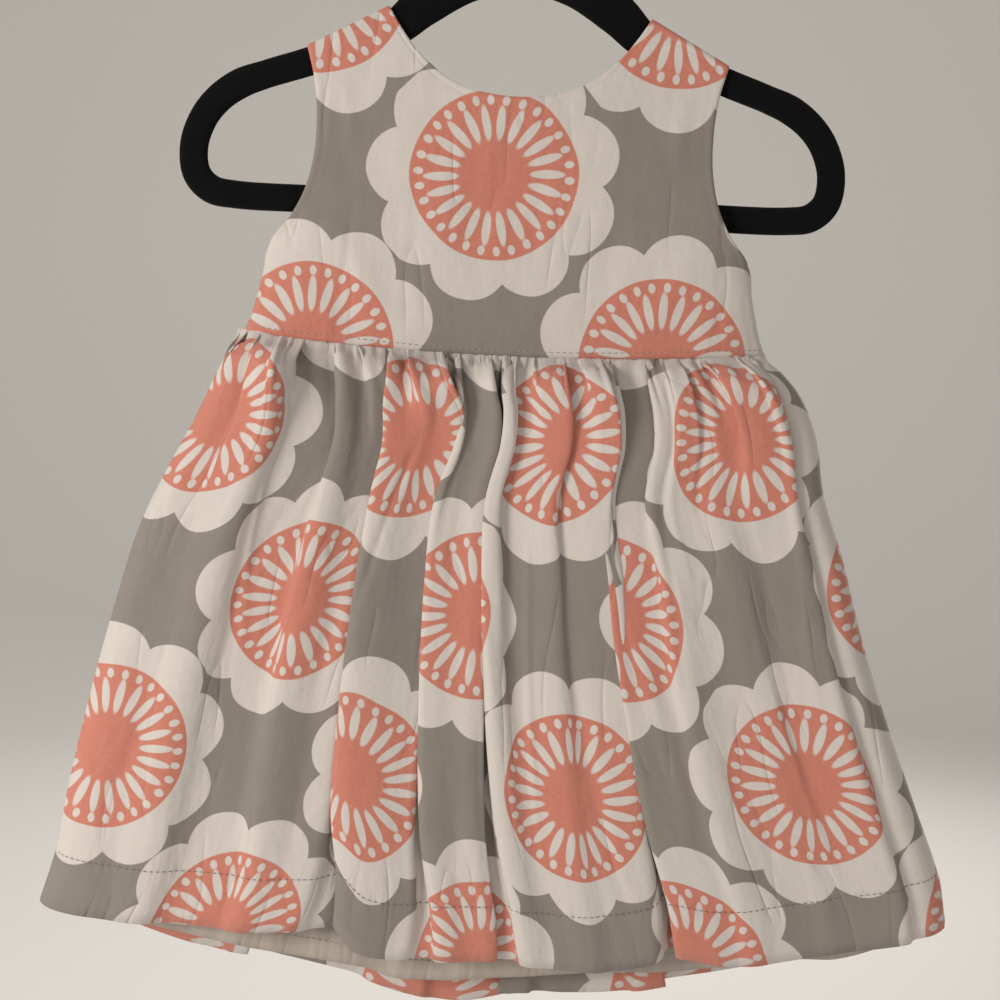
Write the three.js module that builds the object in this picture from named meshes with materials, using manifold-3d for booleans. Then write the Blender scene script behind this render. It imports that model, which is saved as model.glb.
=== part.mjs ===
// A toddler's sleeveless dress hanging on a child's hanger.
// Millimetres, +Z up, the front faces -Y. The origin is where a rail carries the hook.

import * as THREE from 'three';
import { mergeVertices } from 'three/addons/utils/BufferGeometryUtils.js';
import Module from 'manifold-3d';

// Driving dimensions
const SEAM_GAP = 0.3;
const WAIST_GAP = 0.95;
const CLOTH = 1.1;
const LINING_CLOTH = 1.0;

const HANGER_LINE = -178;
const WIRE_RADIUS = 1.8;
const HOOK_INNER_RADIUS = 19;
const HOOK_TIP_ANGLE = 205;
const BORE_DEPTH = 16;

const SKIRT_LENGTH = 326;
const FRONT_CUT_WIDTH = 640;
const BACK_CUT_WIDTH = 620;
const BACK_EXTRA_LENGTH = 27;
const FRONT_GATHERS = 29;
const BACK_GATHERS = 22;

const LINING_INSET = 5;
const LINING_EXTRA_LENGTH = 14;

const LAP_HALF_WIDTH = 9;
const LAP_AIR = 0.6;
const BUTTON_RADIUS = 5.6;
const BUTTON_THICKNESS = 2.4;

// Hanger: right half of the closed loop's middle line, above the hanger line
const HANGER_ROWS = [
  { x: 0, z: 103.4, width: 25, depth: 7 },
  { x: 26, z: 98.6, width: 25, depth: 7 },
  { x: 50.5, z: 83, width: 22, depth: 5.6 },
  { x: 66, z: 69.8, width: 18.5, depth: 5 },
  { x: 105.5, z: 52.5, width: 14.8, depth: 5 },
  { x: 131.7, z: 43.4, width: 14.6, depth: 5 },
  { x: 145, z: 38, width: 15.6, depth: 5 },
  { x: 156, z: 29.8, width: 15.2, depth: 5 },
  { x: 163.6, z: 19.6, width: 15, depth: 5 },
  { x: 168.2, z: 5.2, width: 15, depth: 5 },
  { x: 166.4, z: -9.4, width: 15, depth: 5 },
  { x: 158.5, z: -17.2, width: 15, depth: 5 },
  { x: 146, z: -19.4, width: 14.6, depth: 5 },
  { x: 100, z: -19.8, width: 14.4, depth: 5 },
  { x: 50, z: -19.8, width: 14.4, depth: 5 },
  { x: 0, z: -19.8, width: 14.4, depth: 5 },
];

// Bodice: right half of each edge, above the hanger line
const FRONT_NECK = [
  { x: 0, z: 37 },
  { x: 21, z: 39.5 },
  { x: 38, z: 46.5 },
  { x: 52, z: 58 },
  { x: 61, z: 69 },
  { x: 69, z: 81.3 },
];
const BACK_NECK_DROP = 5;
const STRAP_OUTER = { x: 110.5, z: 59.3 };
const ARMPIT = { x: 127, z: -44 };
const WAIST_CORNER = { x: 138, z: -91 };
const ARMHOLE = [
  STRAP_OUTER,
  { x: 106, z: 42 },
  { x: 104, z: 24 },
  { x: 104.4, z: 4 },
  { x: 108.5, z: -15 },
  { x: 116, z: -30 },
  ARMPIT,
];
const SIDE_SEAM = [ARMPIT, { x: 130.5, z: -62 }, { x: 134, z: -77 }, WAIST_CORNER];
const WAIST_DIP = 6.5;

// Skirt outline, absolute heights, from the waist (down 0) to the hem (down 1): the left and
// right edges, how far the middle hangs below them, and the stand-off from the middle plane
const SKIRT_ROWS = [
  { down: 0, leftX: -138, leftZ: -269, rightX: 138, rightZ: -269, sag: 6.5, depth: 8 },
  { down: 0.04, leftX: -146.4, leftZ: -279.3, rightX: 148.5, rightZ: -277.3, sag: 8, depth: 9 },
  { down: 0.09, leftX: -154, leftZ: -294, rightX: 159.4, rightZ: -289.8, sag: 9, depth: 9 },
  { down: 0.16, leftX: -163.4, leftZ: -315.3, rightX: 169.1, rightZ: -311, sag: 10.5, depth: 9 },
  { down: 0.25, leftX: -176.9, leftZ: -341.9, rightX: 174.7, rightZ: -340.3, sag: 12, depth: 9 },
  { down: 0.36, leftX: -191.6, leftZ: -375.3, rightX: 187.3, rightZ: -374.8, sag: 14, depth: 9 },
  { down: 0.5, leftX: -204.2, leftZ: -420, rightX: 201.2, rightZ: -419.5, sag: 16, depth: 9 },
  { down: 0.65, leftX: -216.1, leftZ: -468.4, rightX: 218.5, rightZ: -466.5, sag: 18.5, depth: 9.5 },
  { down: 0.8, leftX: -226.2, leftZ: -517.2, rightX: 237.4, rightZ: -512.9, sag: 21, depth: 10 },
  { down: 0.92, leftX: -232.7, leftZ: -556.5, rightX: 252.6, rightZ: -549.9, sag: 22.5, depth: 10.5 },
  { down: 1, leftX: -240, leftZ: -582, rightX: 258, rightZ: -576, sag: 23.5, depth: 11 },
];

// Long pressed folds: where each runs across the cut cloth at waist and hem, as a share of its
// width, how wide it is, its slope at waist, middle and hem in degrees, and how much of that slope
// its rising left side and its falling right side have
const FRONT_FOLDS = [
  { top: 0.07, hem: 0.09, width: 17, waist: 60, middle: 50, end: 30, rise: 0.6, fall: 1 },
  { top: 0.17, hem: 0.19, width: 14, waist: 90, middle: 70, end: 30, rise: 1, fall: 0.5 },
  { top: 0.225, hem: 0.24, width: 11, waist: 120, middle: 60, end: 20, rise: 0.3, fall: 1 },
  { top: 0.285, hem: 0.334, width: 26, waist: 130, middle: 150, end: 150, rise: 1, fall: 0.12 },
  { top: 0.355, hem: 0.374, width: 13, waist: 140, middle: 110, end: 40, rise: 0, fall: 1 },
  { top: 0.415, hem: 0.43, width: 13, waist: 130, middle: 130, end: 44, rise: 1, fall: 0.2 },
  { top: 0.46, hem: 0.475, width: 13, waist: 140, middle: 140, end: 60, rise: 0.2, fall: 1 },
  { top: 0.53, hem: 0.54, width: 14, waist: 120, middle: 100, end: 36, rise: 1, fall: 0.7 },
  { top: 0.6, hem: 0.6, width: 12, waist: 95, middle: 70, end: 24, rise: 0.2, fall: 1 },
  { top: 0.68, hem: 0.652, width: 23, waist: 110, middle: 145, end: 150, rise: 0, fall: 1 },
  { top: 0.77, hem: 0.748, width: 26, waist: 120, middle: 150, end: 155, rise: 1, fall: 0 },
  { top: 0.82, hem: 0.815, width: 11, waist: 120, middle: 60, end: 24, rise: 1, fall: 0.4 },
  { top: 0.875, hem: 0.88, width: 12, waist: 100, middle: 50, end: 24, rise: 0.3, fall: 1 },
  { top: 0.935, hem: 0.945, width: 14, waist: 70, middle: 90, end: 130, rise: 0, fall: 1 },
];
const BACK_FOLDS = [
  { top: 0.06, hem: 0.06, width: 14, waist: 70, middle: 90, end: 110, rise: 1, fall: 0 },
  { top: 0.15, hem: 0.16, width: 12, waist: 110, middle: 70, end: 30, rise: 0.3, fall: 1 },
  { top: 0.24, hem: 0.23, width: 20, waist: 120, middle: 140, end: 130, rise: 1, fall: 0.15 },
  { top: 0.32, hem: 0.33, width: 12, waist: 130, middle: 100, end: 30, rise: 0.2, fall: 1 },
  { top: 0.4, hem: 0.42, width: 13, waist: 130, middle: 110, end: 40, rise: 1, fall: 0.3 },
  { top: 0.48, hem: 0.48, width: 22, waist: 120, middle: 150, end: 140, rise: 0, fall: 1 },
  { top: 0.56, hem: 0.57, width: 12, waist: 130, middle: 110, end: 36, rise: 1, fall: 0.4 },
  { top: 0.64, hem: 0.65, width: 14, waist: 120, middle: 100, end: 30, rise: 0.2, fall: 1 },
  { top: 0.72, hem: 0.74, width: 22, waist: 110, middle: 145, end: 140, rise: 1, fall: 0.1 },
  { top: 0.81, hem: 0.82, width: 12, waist: 120, middle: 80, end: 24, rise: 0.3, fall: 1 },
  { top: 0.9, hem: 0.9, width: 15, waist: 80, middle: 100, end: 110, rise: 0.1, fall: 1 },
];

// How far each hem rides up or hangs down across the cut cloth
const FRONT_HEM_LIFT = [
  { across: 0, lift: 0 },
  { across: 0.08, lift: 3.5 },
  { across: 0.14, lift: 6.5 },
  { across: 0.2, lift: 9 },
  { across: 0.29, lift: 15 },
  { across: 0.312, lift: 17 },
  { across: 0.337, lift: 4 },
  { across: 0.38, lift: 1 },
  { across: 0.5, lift: 1.5 },
  { across: 0.6, lift: -3 },
  { across: 0.65, lift: 0 },
  { across: 0.69, lift: 7 },
  { across: 0.72, lift: 6 },
  { across: 0.755, lift: 2.5 },
  { across: 0.79, lift: -2.5 },
  { across: 0.9, lift: -1 },
  { across: 1, lift: 1 },
];
const BACK_HEM_LIFT = [
  { across: 0, lift: -2 },
  { across: 0.15, lift: -1 },
  { across: 0.26, lift: 4 },
  { across: 0.32, lift: 2.5 },
  { across: 0.38, lift: -7 },
  { across: 0.44, lift: -11 },
  { across: 0.51, lift: -3 },
  { across: 0.62, lift: -5.5 },
  { across: 0.75, lift: -1 },
  { across: 1, lift: 0 },
];
const LINING_HEM_LIFT = [
  { across: 0, lift: 0 },
  { across: 0.1, lift: 4 },
  { across: 0.3, lift: 3.5 },
  { across: 0.36, lift: 1 },
  { across: 0.385, lift: -2.5 },
  { across: 0.43, lift: -2.5 },
  { across: 0.5, lift: 0 },
  { across: 0.6, lift: 3 },
  { across: 0.7, lift: 2 },
  { across: 0.84, lift: 0 },
  { across: 0.89, lift: -4 },
  { across: 1, lift: 0 },
];

// Gathers under the waist seam: slope in degrees, the share of a gather that is turned, its reach
// down the cloth, and the pinch at the seam
const GATHER_SLOPE = 165;
const GATHER_SHARE = { least: 0.33, most: 0.56 };
const GATHER_REACH = { least: 24, most: 110 };
const GATHER_PINCH = { atSeam: 0.35, fullAt: 14 };

// The folds stand out most a little below the seam
const FULLNESS = { more: 0.8, at: 13, reach: 26 };

// All folds: their height against the cloth in them, the steepest slope, the width over which they
// are levelled, and the width over which the showing share of the cloth is kept even
const FOLD_RELIEF = 0.42;
const FOLD_MIDDLE = 0.45;
const STEEPEST = 166;
const LEVELLING_WINDOW = 110;
const COVER_WINDOW = 46;
const SEAM_GATHERING = { share: 0.44, reach: 0.13 };
const TIGHTNESS_LIMITS = { least: 0.25, most: 1.9 };

// Stand-off of the cloth from the middle plane, the reach of its rounding at an edge, and how
// near the bodice's side seam its two layers lie together
const BODICE_DEPTH = { strap: 4.4, chest: 8, chestFrom: 8, chestAt: 90 };
const STRAP_ROUNDING = 3;
const SEAM_CLOSED = 0.3;
const SIDE_ROUNDING = 34;
const LINING_ROUNDING = 40;
const LINING_ROWS = [
  { down: 0, depth: 6.7 },
  { down: 0.08, depth: 4.6 },
  { down: 0.25, depth: 3.8 },
  { down: 1, depth: 3.6 },
];

// Mesh density
const FRONT_COLUMNS = 144;
const BACK_COLUMNS = 104;
const LINING_COLUMNS = 28;
const STRAP_SHARE = 0.17;
const BODICE_HALF_ACROSS = [
  0, 0.05, 0.1, 0.15, STRAP_SHARE, 0.176, 0.19, 0.22, 0.27, 0.33, 0.39, 0.445, 0.5,
];
const SKIRT_STATIONS = [0, 0.025, 0.06, 0.11, 0.18, 0.26, 0.36, 0.48, 0.62, 0.76, 0.89, 1];
const BACK_STATIONS = [0, 0.03, 0.075, 0.14, 0.24, 0.38, 0.55, 0.75, 1];
const LINING_STATIONS = [0, 0.08, 0.25, 0.5, 0.75, 1];
const BODICE_STATIONS = [0, 0.006, 0.018, 0.04, 0.1, 0.25, 0.42, 0.58, 0.72, 0.84, 0.93, 1];

const COLOURS = {
  cloth: 0x8f8378,
  flower: 0xd4c8bf,
  lining: 0x9b9187,
  button: 0xe6e0d6,
  hanger: 0x0d0d0f,
  wire: 0xb9bbbe,
};

const degrees = Math.PI / 180;

// A smooth curve through one column of a table, read at a value of another column
function reader(rows, at, column) {
  const places = rows.map((row) => row[at]);
  const values = rows.map((row) => row[column]);
  const last = places.length - 1;
  const slopes = values.map((_, i) => {
    const before = Math.max(i - 1, 0);
    const after = Math.min(i + 1, last);
    return (values[after] - values[before]) / (places[after] - places[before]);
  });
  return (place) => {
    let i = 0;
    while (i < last - 1 && place > places[i + 1]) i += 1;
    const span = places[i + 1] - places[i];
    const t = (place - places[i]) / span;
    const rise = values[i + 1] - values[i];
    const a = slopes[i] * span - rise;
    const b = rise - slopes[i + 1] * span;
    return values[i] + rise * t + t * (1 - t) * (a * (1 - t) + b * t);
  };
}

// Points of a table as a curve that is read at a share of its length
function edgeCurve(rows) {
  const points = rows.map((row) => new THREE.Vector3(row.x, 0, row.z));
  const curve = new THREE.CatmullRomCurve3(points, false, 'centripetal');
  curve.arcLengthDivisions = 400;
  return curve;
}

function distanceToSegment(x, z, a, b) {
  const dx = b.x - a.x;
  const dz = b.z - a.z;
  const along = ((x - a.x) * dx + (z - a.z) * dz) / (dx * dx + dz * dz);
  const t = Math.min(Math.max(along, 0), 1);
  return Math.hypot(x - a.x - t * dx, z - a.z - t * dz);
}

// Quarter ellipse from 0 at an edge to 1 at the given reach
function rounded(distance, reach) {
  const left = 1 - Math.min(distance / reach, 1);
  return Math.sqrt(1 - left * left);
}

// A repeatable uneven number between 0 and 1
function uneven(index, kind) {
  const wave = Math.sin(index * 12.9898 + kind * 78.233) * 43758.5453;
  return wave - Math.floor(wave);
}

function evenShares(columns) {
  return Array.from({ length: columns + 1 }, (_, i) => i / columns);
}

function mesh(name, geometry, colour, roughness, metalness = 0) {
  const material = new THREE.MeshStandardMaterial({ color: colour, roughness, metalness });
  const made = new THREE.Mesh(geometry, material);
  made.name = name;
  return made;
}

// A closed wall from a grid of inner points: the outer points stand off by the thickness,
// away from the inside, which lies towards +Y for a front (side -1) and -Y for a back (side 1)
function wall(shares, stations, pointAt, thickness, side) {
  const wide = shares.length;
  const columns = wide - 1;
  const inner = stations.map((down) => shares.map((share) => pointAt(share, down)));
  const at = (r, c) => inner[r][c];
  const positions = [];
  inner.flat().forEach((p) => positions.push(p.x, p.y, p.z));
  stations.forEach((_, r) => {
    for (let c = 0; c < wide; c += 1) {
      const across = at(r, Math.min(c + 1, columns)).clone().sub(at(r, Math.max(c - 1, 0)));
      const foot = at(Math.min(r + 1, stations.length - 1), c);
      const below = foot.clone().sub(at(Math.max(r - 1, 0), c));
      const out = across.cross(below).normalize().multiplyScalar(side * thickness);
      const p = at(r, c).clone().add(out);
      positions.push(p.x, p.y, p.z);
    }
  });
  return closedGrid(positions, wide, stations.length, side);
}

// Triangles of the two faces of a wall and of its four edges
function closedGrid(positions, wide, high, side) {
  const outer = wide * high;
  const index = [];
  const quad = (a, b, c, d) => {
    if (side < 0) index.push(a, b, c, a, c, d);
    else index.push(a, c, b, a, d, c);
  };
  for (let r = 0; r < high - 1; r += 1) {
    for (let c = 0; c < wide - 1; c += 1) {
      const k = r * wide + c;
      quad(k, k + 1, k + wide + 1, k + wide);
      quad(outer + k, outer + k + wide, outer + k + wide + 1, outer + k + 1);
    }
  }
  for (let c = 0; c < wide - 1; c += 1) {
    const foot = (high - 1) * wide + c;
    quad(c, outer + c, outer + c + 1, c + 1);
    quad(foot, foot + 1, outer + foot + 1, outer + foot);
  }
  for (let r = 0; r < high - 1; r += 1) {
    const left = r * wide;
    const right = left + wide - 1;
    quad(left, left + wide, outer + left + wide, outer + left);
    quad(right, outer + right, outer + right + wide, right + wide);
  }
  const geometry = new THREE.BufferGeometry();
  geometry.setAttribute('position', new THREE.Float32BufferAttribute(positions, 3));
  geometry.setIndex(index);
  return geometry;
}

// Hanger: a flat closed loop with round edges, bored at the neck for the hook
function hangerLoop() {
  const right = HANGER_ROWS;
  const left = right.slice(1, -1).reverse().map((row) => ({ ...row, x: -row.x }));
  const rows = [...right, ...left];
  const line = new THREE.CatmullRomCurve3(
    rows.map((row) => new THREE.Vector3(row.x, 0, row.z + HANGER_LINE)),
    true,
    'centripetal',
  );
  const between = 2;
  const around = 8;
  const steps = rows.length * between;
  const positions = [];
  const index = [];
  for (let i = 0; i < steps; i += 1) {
    const row = rows[Math.floor(i / between)];
    const next = rows[(Math.floor(i / between) + 1) % rows.length];
    const share = (i % between) / between;
    const halfWidth = (row.width + (next.width - row.width) * share) / 2;
    const halfDepth = (row.depth + (next.depth - row.depth) * share) / 2;
    const centre = line.getPoint(i / steps);
    const ahead = line.getTangent(i / steps);
    for (let k = 0; k < around; k += 1) {
      const turn = ((k + 0.5) / around) * 2 * Math.PI;
      const acrossTurn = Math.cos(turn) / Math.cos(Math.PI / around);
      const across = halfWidth * Math.sign(acrossTurn) * Math.abs(acrossTurn) ** 0.35;
      const deep = (halfDepth * Math.sin(turn)) / Math.cos(Math.PI / around);
      positions.push(centre.x + ahead.z * across, deep, centre.z - ahead.x * across);
      const j = (k + 1) % around;
      const here = i * around;
      const there = ((i + 1) % steps) * around;
      index.push(here + k, here + j, there + k, here + j, there + j, there + k);
    }
  }
  const geometry = new THREE.BufferGeometry();
  geometry.setAttribute('position', new THREE.Float32BufferAttribute(positions, 3));
  geometry.setIndex(index);
  return geometry;
}

function neckTop() {
  return HANGER_LINE + HANGER_ROWS[0].z + HANGER_ROWS[0].width / 2;
}

async function boredHanger() {
  const wasm = await Module();
  wasm.setup();
  const solid = (geometry) => {
    const plain = geometry.clone();
    plain.deleteAttribute('normal');
    plain.deleteAttribute('uv');
    const merged = mergeVertices(plain, 1e-4);
    return new wasm.Manifold(
      new wasm.Mesh({
        numProp: 3,
        vertProperties: merged.attributes.position.array,
        triVerts: new Uint32Array(merged.index.array),
      }),
    );
  };
  const boreRadius = WIRE_RADIUS + SEAM_GAP;
  const bore = new THREE.CylinderGeometry(boreRadius, boreRadius, 2 * BORE_DEPTH, 12);
  bore.rotateX(Math.PI / 2);
  bore.translate(0, 0, neckTop());
  const cut = solid(hangerLoop()).subtract(solid(bore)).getMesh();
  const geometry = new THREE.BufferGeometry();
  geometry.setAttribute('position', new THREE.Float32BufferAttribute(cut.vertProperties, 3));
  geometry.setIndex(new THREE.Uint32BufferAttribute(cut.triVerts, 1));
  return geometry;
}

// Hook: a wire from the bore straight up, round the rail and down to its tip
function hookWire() {
  const radius = HOOK_INNER_RADIUS + WIRE_RADIUS;
  const centre = -HOOK_INNER_RADIUS;
  const foot = neckTop() - BORE_DEPTH + SEAM_GAP;
  const joinAngle = -58;
  const arcSteps = 16;
  const straight = [foot, neckTop() - BORE_DEPTH / 2, neckTop() - 2, neckTop() + 3];
  const points = straight.map((z) => new THREE.Vector3(0, 0, z));
  for (let i = 0; i <= arcSteps; i += 1) {
    const angle = (joinAngle + ((HOOK_TIP_ANGLE - joinAngle) * i) / arcSteps) * degrees;
    points.push(new THREE.Vector3(radius * Math.cos(angle), 0, centre + radius * Math.sin(angle)));
  }
  const section = new THREE.Shape();
  section.absarc(0, 0, WIRE_RADIUS, 0, 2 * Math.PI, false);
  return new THREE.ExtrudeGeometry(section, {
    steps: 36,
    curveSegments: 5,
    bevelEnabled: false,
    extrudePath: new THREE.CatmullRomCurve3(points, false, 'centripetal'),
  });
}

// Height of the waist seam across the dress
function waistHeight(x) {
  const share = x / WAIST_CORNER.x;
  return HANGER_LINE + WAIST_CORNER.z - WAIST_DIP * (1 - share * share);
}

// How far the bodice stands off the middle plane: thin over the shoulder, closed at the sides
function bodiceDepth(x, z) {
  const right = Math.abs(x);
  const neckPoint = FRONT_NECK[FRONT_NECK.length - 1];
  const top = distanceToSegment(right, z, neckPoint, STRAP_OUTER);
  const parts = SIDE_SEAM.slice(1).map((end, i) => distanceToSegment(right, z, SIDE_SEAM[i], end));
  const side = Math.max(Math.min(...parts) - SEAM_CLOSED, 0);
  const fullness = THREE.MathUtils.smoothstep(top, BODICE_DEPTH.chestFrom, BODICE_DEPTH.chestAt);
  const depth = THREE.MathUtils.lerp(BODICE_DEPTH.strap, BODICE_DEPTH.chest, fullness);
  return SEAM_GAP / 2 + depth * rounded(side, SIDE_ROUNDING) * rounded(top, STRAP_ROUNDING);
}

// A point of the bodice from its four edges: across 0 to 1, down 0 (top) to 1 (waist)
function bodicePoint(neckDrop) {
  const neckRows = FRONT_NECK.map((row, i) => ({
    x: row.x,
    z: row.z - neckDrop * (1 - i / (FRONT_NECK.length - 1)),
  }));
  const leftRows = neckRows.slice(1).reverse().map((row) => ({ x: -row.x, z: row.z }));
  const neck = edgeCurve([...leftRows, ...neckRows]);
  const side = edgeCurve([...ARMHOLE, ...SIDE_SEAM.slice(1)]);
  const neckEnd = neckRows[neckRows.length - 1];
  const topEdge = (across) => {
    const out = Math.abs(across - 0.5) * 2;
    const strapStart = 1 - 2 * STRAP_SHARE;
    if (out > strapStart) {
      const t = (out - strapStart) / (1 - strapStart);
      const x = neckEnd.x + (STRAP_OUTER.x - neckEnd.x) * t;
      return { x: Math.sign(across - 0.5) * x, z: neckEnd.z + (STRAP_OUTER.z - neckEnd.z) * t };
    }
    return neck.getPointAt((across - STRAP_SHARE) / (1 - 2 * STRAP_SHARE));
  };
  return (across, down) => {
    const top = topEdge(across);
    const edge = side.getPointAt(down);
    const bottomX = WAIST_CORNER.x * (2 * across - 1);
    const bottomZ = waistHeight(bottomX) - HANGER_LINE;
    const mixX = (1 - down) * STRAP_OUTER.x + down * WAIST_CORNER.x;
    const mixZ = (1 - down) * STRAP_OUTER.z + down * WAIST_CORNER.z;
    const x = (1 - down) * top.x + down * bottomX + (edge.x - mixX) * (2 * across - 1);
    const z = (1 - down) * top.z + down * bottomZ + (edge.z - mixZ);
    return { x, z };
  };
}

function bodicePanel(name, side, shares, lift) {
  const flat = bodicePoint(side < 0 ? 0 : BACK_NECK_DROP);
  const pointAt = (across, down) => {
    const { x, z } = flat(across, down);
    const depth = bodiceDepth(x, z) + lift(x);
    return new THREE.Vector3(x, side * depth, z + HANGER_LINE);
  };
  return mesh(name, wall(shares, BODICE_STATIONS, pointAt, CLOTH, side), COLOURS.cloth, 0.85);
}

function bodiceFront() {
  const rightHalf = BODICE_HALF_ACROSS.slice(0, -1).reverse().map((share) => 1 - share);
  return bodicePanel('bodice_front', -1, [...BODICE_HALF_ACROSS, ...rightHalf], () => 0);
}

// The lapped centre back: the left half rises over the right half
function lapLift(x) {
  const rise = THREE.MathUtils.smoothstep(x, -LAP_HALF_WIDTH - 16, -LAP_HALF_WIDTH - 4);
  return (CLOTH + LAP_AIR) * rise;
}

function bodiceBack() {
  const lapShare = (0.5 * LAP_HALF_WIDTH) / WAIST_CORNER.x;
  const left = [...BODICE_HALF_ACROSS, 0.5 + lapShare];
  const right = left.map((share) => 1 - share).reverse();
  return [
    bodicePanel('bodice_back_left', 1, left, lapLift),
    bodicePanel('bodice_back_right', 1, right, () => 0),
  ];
}

// Buttons lie on the outer lap at the centre back
function buttons() {
  const names = ['button_top', 'button_middle', 'button_bottom'];
  const highest = 20;
  const lowest = -80;
  return names.map((name, i) => {
    const z = highest + ((lowest - highest) * i) / (names.length - 1);
    const depth = bodiceDepth(0, z) + 2 * CLOTH + LAP_AIR + SEAM_GAP;
    const profile = [
      new THREE.Vector2(0, 0),
      new THREE.Vector2(BUTTON_RADIUS - 0.7, 0),
      new THREE.Vector2(BUTTON_RADIUS, 0.8),
      new THREE.Vector2(BUTTON_RADIUS, BUTTON_THICKNESS - 0.8),
      new THREE.Vector2(BUTTON_RADIUS - 0.8, BUTTON_THICKNESS),
      new THREE.Vector2(0, BUTTON_THICKNESS - 0.4),
    ];
    const button = mesh(name, new THREE.LatheGeometry(profile, 16), COLOURS.button, 0.35);
    button.position.set(0, depth, z + HANGER_LINE);
    return button;
  });
}

// The gathers of a panel, uneven in width, reach and slope, each rising or falling
function gatherCells(count, kind) {
  const between = (range, share) => range.least + (range.most - range.least) * share;
  const cells = [];
  let total = 0;
  for (let i = 0; i < count; i += 1) {
    const width = 0.55 + 0.9 * uneven(i, kind);
    cells.push({
      start: total,
      width,
      reach: between(GATHER_REACH, uneven(i, kind + 1) ** 1.6) / SKIRT_LENGTH,
      slope: (0.75 + 0.3 * uneven(i, kind + 2)) * GATHER_SLOPE * degrees,
      share: between(GATHER_SHARE, uneven(i, kind + 3)),
      turn: (i + Math.round(uneven(i, kind + 4))) % 2 > 0 ? 1 : -1,
    });
    total += width;
  }
  cells.forEach((cell) => {
    cell.start /= total;
    cell.width /= total;
  });
  return cells;
}

// Slope of one long fold at a place of the cut panel: across it and down it, both 0 to 1
function foldSlope(fold, cutWidth, across, down) {
  const centre = fold.top + (fold.hem - fold.top) * down;
  const width = fold.width * (1 + 0.2 * down + 2 * down * (1 - down));
  const place = ((across - centre) * cutWidth) / width;
  if (Math.abs(place) >= 1) return 0;
  const size =
    down < FOLD_MIDDLE
      ? fold.waist + ((fold.middle - fold.waist) * down) / FOLD_MIDDLE
      : fold.middle + ((fold.end - fold.middle) * (down - FOLD_MIDDLE)) / (1 - FOLD_MIDDLE);
  const share = place < 0 ? fold.rise : fold.fall;
  return -size * degrees * share * Math.sin(Math.PI * place);
}

// Slope of the folded cloth, gathers and folds together
function slopeField(cutWidth, gatherCount, folds, kind) {
  const cells = gatherCells(gatherCount, kind);
  return (across, down) => {
    const cell = cells.findLast((one) => across >= one.start);
    const fade = Math.exp(-((down / cell.reach) ** 1.5));
    const place = (across - cell.start) / cell.width / cell.share;
    let slope = place < 1 ? cell.turn * cell.slope * fade * Math.sin(Math.PI * place) : 0;
    folds.forEach((fold) => {
      slope += foldSlope(fold, cutWidth, across, down);
    });
    const soft = 0.16 * Math.min(down / 0.3, 1);
    return slope + soft * Math.sin(2 * Math.PI * (5.3 * across + 0.35 * down + kind));
  };
}

// Mean over a window, with the end values repeated outside
function runningMean(values, half) {
  const last = values.length - 1;
  const sums = [0];
  for (let i = -half; i <= last + half; i += 1) {
    sums.push(sums[sums.length - 1] + values[Math.min(Math.max(i, 0), last)]);
  }
  return values.map((_, i) => (sums[i + 2 * half + 1] - sums[i]) / (2 * half + 1));
}

// Heights above their own running mean, raised so that the lowest is 0
function levelled(heights, reach) {
  const sums = [0];
  heights.forEach((h) => sums.push(sums[sums.length - 1] + h));
  const above = heights.map((h, i) => {
    const room = Math.min(reach, i, heights.length - 1 - i);
    return h - (sums[i + room + 1] - sums[i - room]) / (2 * room + 1);
  });
  const lowest = Math.min(...above);
  return above.map((h) => h - lowest);
}

// How much of the cloth shows across a row: least at the folds, and so that the row has the width
// that is seen, which lets the threads hang straight
function wantedCover(foldCover, cutWidth, visibleWidth, down) {
  const gathered = 1 - SEAM_GATHERING.share * Math.exp(-down / SEAM_GATHERING.reach);
  const wanted = visibleWidth / cutWidth / gathered;
  let low = 0;
  let high = 6;
  for (let i = 0; i < 40; i += 1) {
    const power = (low + high) / 2;
    const mean = foldCover.reduce((sum, c) => sum + c ** power, 0) / foldCover.length;
    if (mean > wanted) low = power;
    else high = power;
  }
  return foldCover.map((c) => c ** low * gathered);
}

// Rows of the folded panel: shares of the visible width and the height of the folds
function foldedRows(slope, folds, cutWidth) {
  const steps = 900;
  const run = cutWidth / steps;
  const half = Math.round(COVER_WINDOW / run / 2);
  const limit = (a) => THREE.MathUtils.clamp(a, -STEEPEST * degrees, STEEPEST * degrees);
  const places = Array.from({ length: steps }, (_, i) => (i + 0.5) / steps);
  const folded = places.map((across) =>
    folds.reduce((sum, fold) => sum + foldSlope(fold, cutWidth, across, FOLD_MIDDLE), 0),
  );
  const foldCover = runningMean(folded.map(Math.cos), half).map((c) => Math.max(c, 0.06));
  return (down, visibleWidth) => {
    const slopes = places.map((across) => slope(across, down));
    const wanted = wantedCover(foldCover, cutWidth, visibleWidth, down);
    let tightness = slopes.map(() => 1);
    for (let turn = 0; turn < 80; turn += 1) {
      const shown = runningMean(slopes.map((a, i) => Math.cos(limit(a * tightness[i]))), half);
      const next = tightness.map((t, i) => t + 0.6 * (shown[i] - wanted[i]));
      tightness = runningMean(next, Math.round(half / 2)).map((t) =>
        THREE.MathUtils.clamp(t, TIGHTNESS_LIMITS.least, TIGHTNESS_LIMITS.most),
      );
    }
    const along = [0];
    const height = [0];
    slopes.forEach((a, i) => {
      along.push(along[i] + wanted[i]);
      height.push(height[i] + Math.sin(limit(a * tightness[i])) * run);
    });
    const share = along.map((a) => a / along[steps]);
    const level = levelled(height, Math.round(LEVELLING_WINDOW / run / 2));
    const read = (list, across) => {
      const place = Math.min(across * steps, steps - 1e-6);
      const i = Math.floor(place);
      return list[i] + (list[i + 1] - list[i]) * (place - i);
    };
    return (across) => ({ share: read(share, across), height: read(level, across) });
  };
}

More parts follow.
